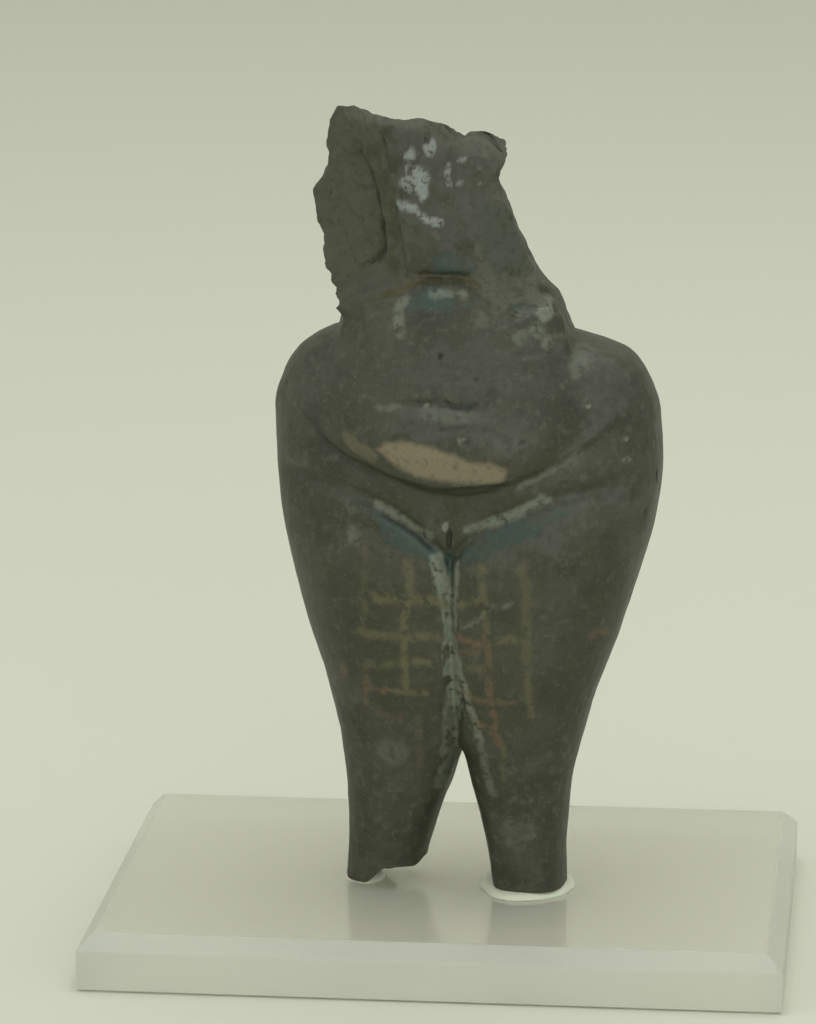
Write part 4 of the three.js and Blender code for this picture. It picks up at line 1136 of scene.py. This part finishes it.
place(build_figurine(), [burnished_clay()], "fired_clay", "figurine")
polished = acrylic("polished acrylic", "fcfcee", 0.15, 0.56)
satin = acrylic("satin acrylic", "f6f9f0", 0.5, 0.6)
place(build_base(), [polished, satin], "clear_acrylic", "display_base")
wax = pale_wax()
place(build_pad("wax_left", "pad_left", 4), [wax], "wax", "pad_left")
place(build_pad("wax_right", "pad_right", 1), [wax], "wax", "pad_right")


# The floor in metres: its front edge, where its bend to the wall starts, the bend's radius and steps, how
# high the wall is, how far it goes to each side, and how far below the base it lies
FLOOR_FRONT, FLOOR_END, BEND, BEND_STEPS, WALL_TOP, FLOOR_HALF = -1.6, 1.1, 0.25, 24, 2.2, 1.8
FLOOR_GAP = 0.2 * MM


def pale_floor():
    """A plain pale floor that curves up into a plain wall behind."""
    angles = [math.radians(90 * step / BEND_STEPS) for step in range(BEND_STEPS + 1)]
    bend = [(FLOOR_END + BEND * math.sin(a), BEND - BEND * math.cos(a)) for a in angles]
    profile = [(FLOOR_FRONT, 0.0), *bend, (FLOOR_END + BEND, WALL_TOP)]
    vertices = [(x, y, z - FLOOR_GAP) for y, z in profile for x in (-FLOOR_HALF, FLOOR_HALF)]
    faces = [(2 * i, 2 * i + 1, 2 * i + 3, 2 * i + 2) for i in range(len(profile) - 1)]
    mesh = bpy.data.meshes.new("floor")
    mesh.from_pydata(vertices, [], faces)
    mesh.shade_smooth()
    made = bpy.data.objects.new("floor", mesh)
    bpy.context.scene.collection.objects.link(made)
    material, _, shader = new_material("pale painted board")
    shader.inputs["Base Color"].default_value = linear("dadccf")
    shader.inputs["Roughness"].default_value = 0.7
    made.data.materials.append(material)


# Round lights: name, place, height they look at, size, watts and colour
LIGHTS = [
    ("overhead softbox", (0.1, 0.1, 0.95), 0.05, 0.8, 2.6, "fdfdf6"),
    ("side softbox", (-0.8, -0.6, 0.6), 0.06, 0.6, 1, "f4f6f0"),
    ("low front fill", (0.25, -1.0, 0.18), 0.03, 0.6, 2.2, "fbfbf2"),
]
DAYLIGHT, DAYLIGHT_STRENGTH = "eef0e8", 0.77


def area_light(name, at, aim, size, power, hex_colour):
    """A round light that looks at a height over the middle of the base."""
    data = bpy.data.lights.new(name, "AREA")
    data.shape = "DISK"
    data.size = size
    data.energy = power
    data.color = linear(hex_colour)[:3]
    made = bpy.data.objects.new(name, data)
    made.location = at
    made.rotation_euler = (Vector((0, 0, aim)) - Vector(at)).to_track_quat("-Z", "Y").to_euler()
    bpy.context.scene.collection.objects.link(made)


def studio():
    """Pale light from everywhere, and the round lights."""
    world = bpy.data.worlds.new("soft daylight")
    bpy.context.scene.world = world
    world.use_nodes = True
    background = world.node_tree.nodes["Background"]
    background.inputs["Color"].default_value = linear(DAYLIGHT)
    background.inputs["Strength"].default_value = DAYLIGHT_STRENGTH
    for light in LIGHTS:
        area_light(*light)


# The camera fitted to the corners of the base in the photograph
AZIMUTH, ELEVATION, LENS = math.radians(5.8), math.radians(13.4), 180.7
CAMERA_PLACE = (0.067, -0.7226, 0.2351)


def photo_camera():
    """The camera, turned by its azimuth and elevation and set at its place."""
    level = math.cos(ELEVATION)
    backwards = Vector((math.sin(AZIMUTH) * level, -math.cos(AZIMUTH) * level, math.sin(ELEVATION)))
    right = Vector((0, 0, 1)).cross(backwards).normalized()
    up = backwards.cross(right)
    data = bpy.data.cameras.new("photo camera")
    data.lens = LENS
    data.sensor_width = 36
    data.clip_start = 0.05
    made = bpy.data.objects.new("photo camera", data)
    turn = Matrix((right, up, backwards)).transposed()
    made.matrix_world = Matrix.Translation(CAMERA_PLACE) @ turn.to_4x4()
    bpy.context.scene.collection.objects.link(made)
    bpy.context.scene.camera = made


pale_floor()
studio()
photo_camera()
bpy.context.scene.view_settings.view_transform = "Standard"

bpy.context.view_layer.update()
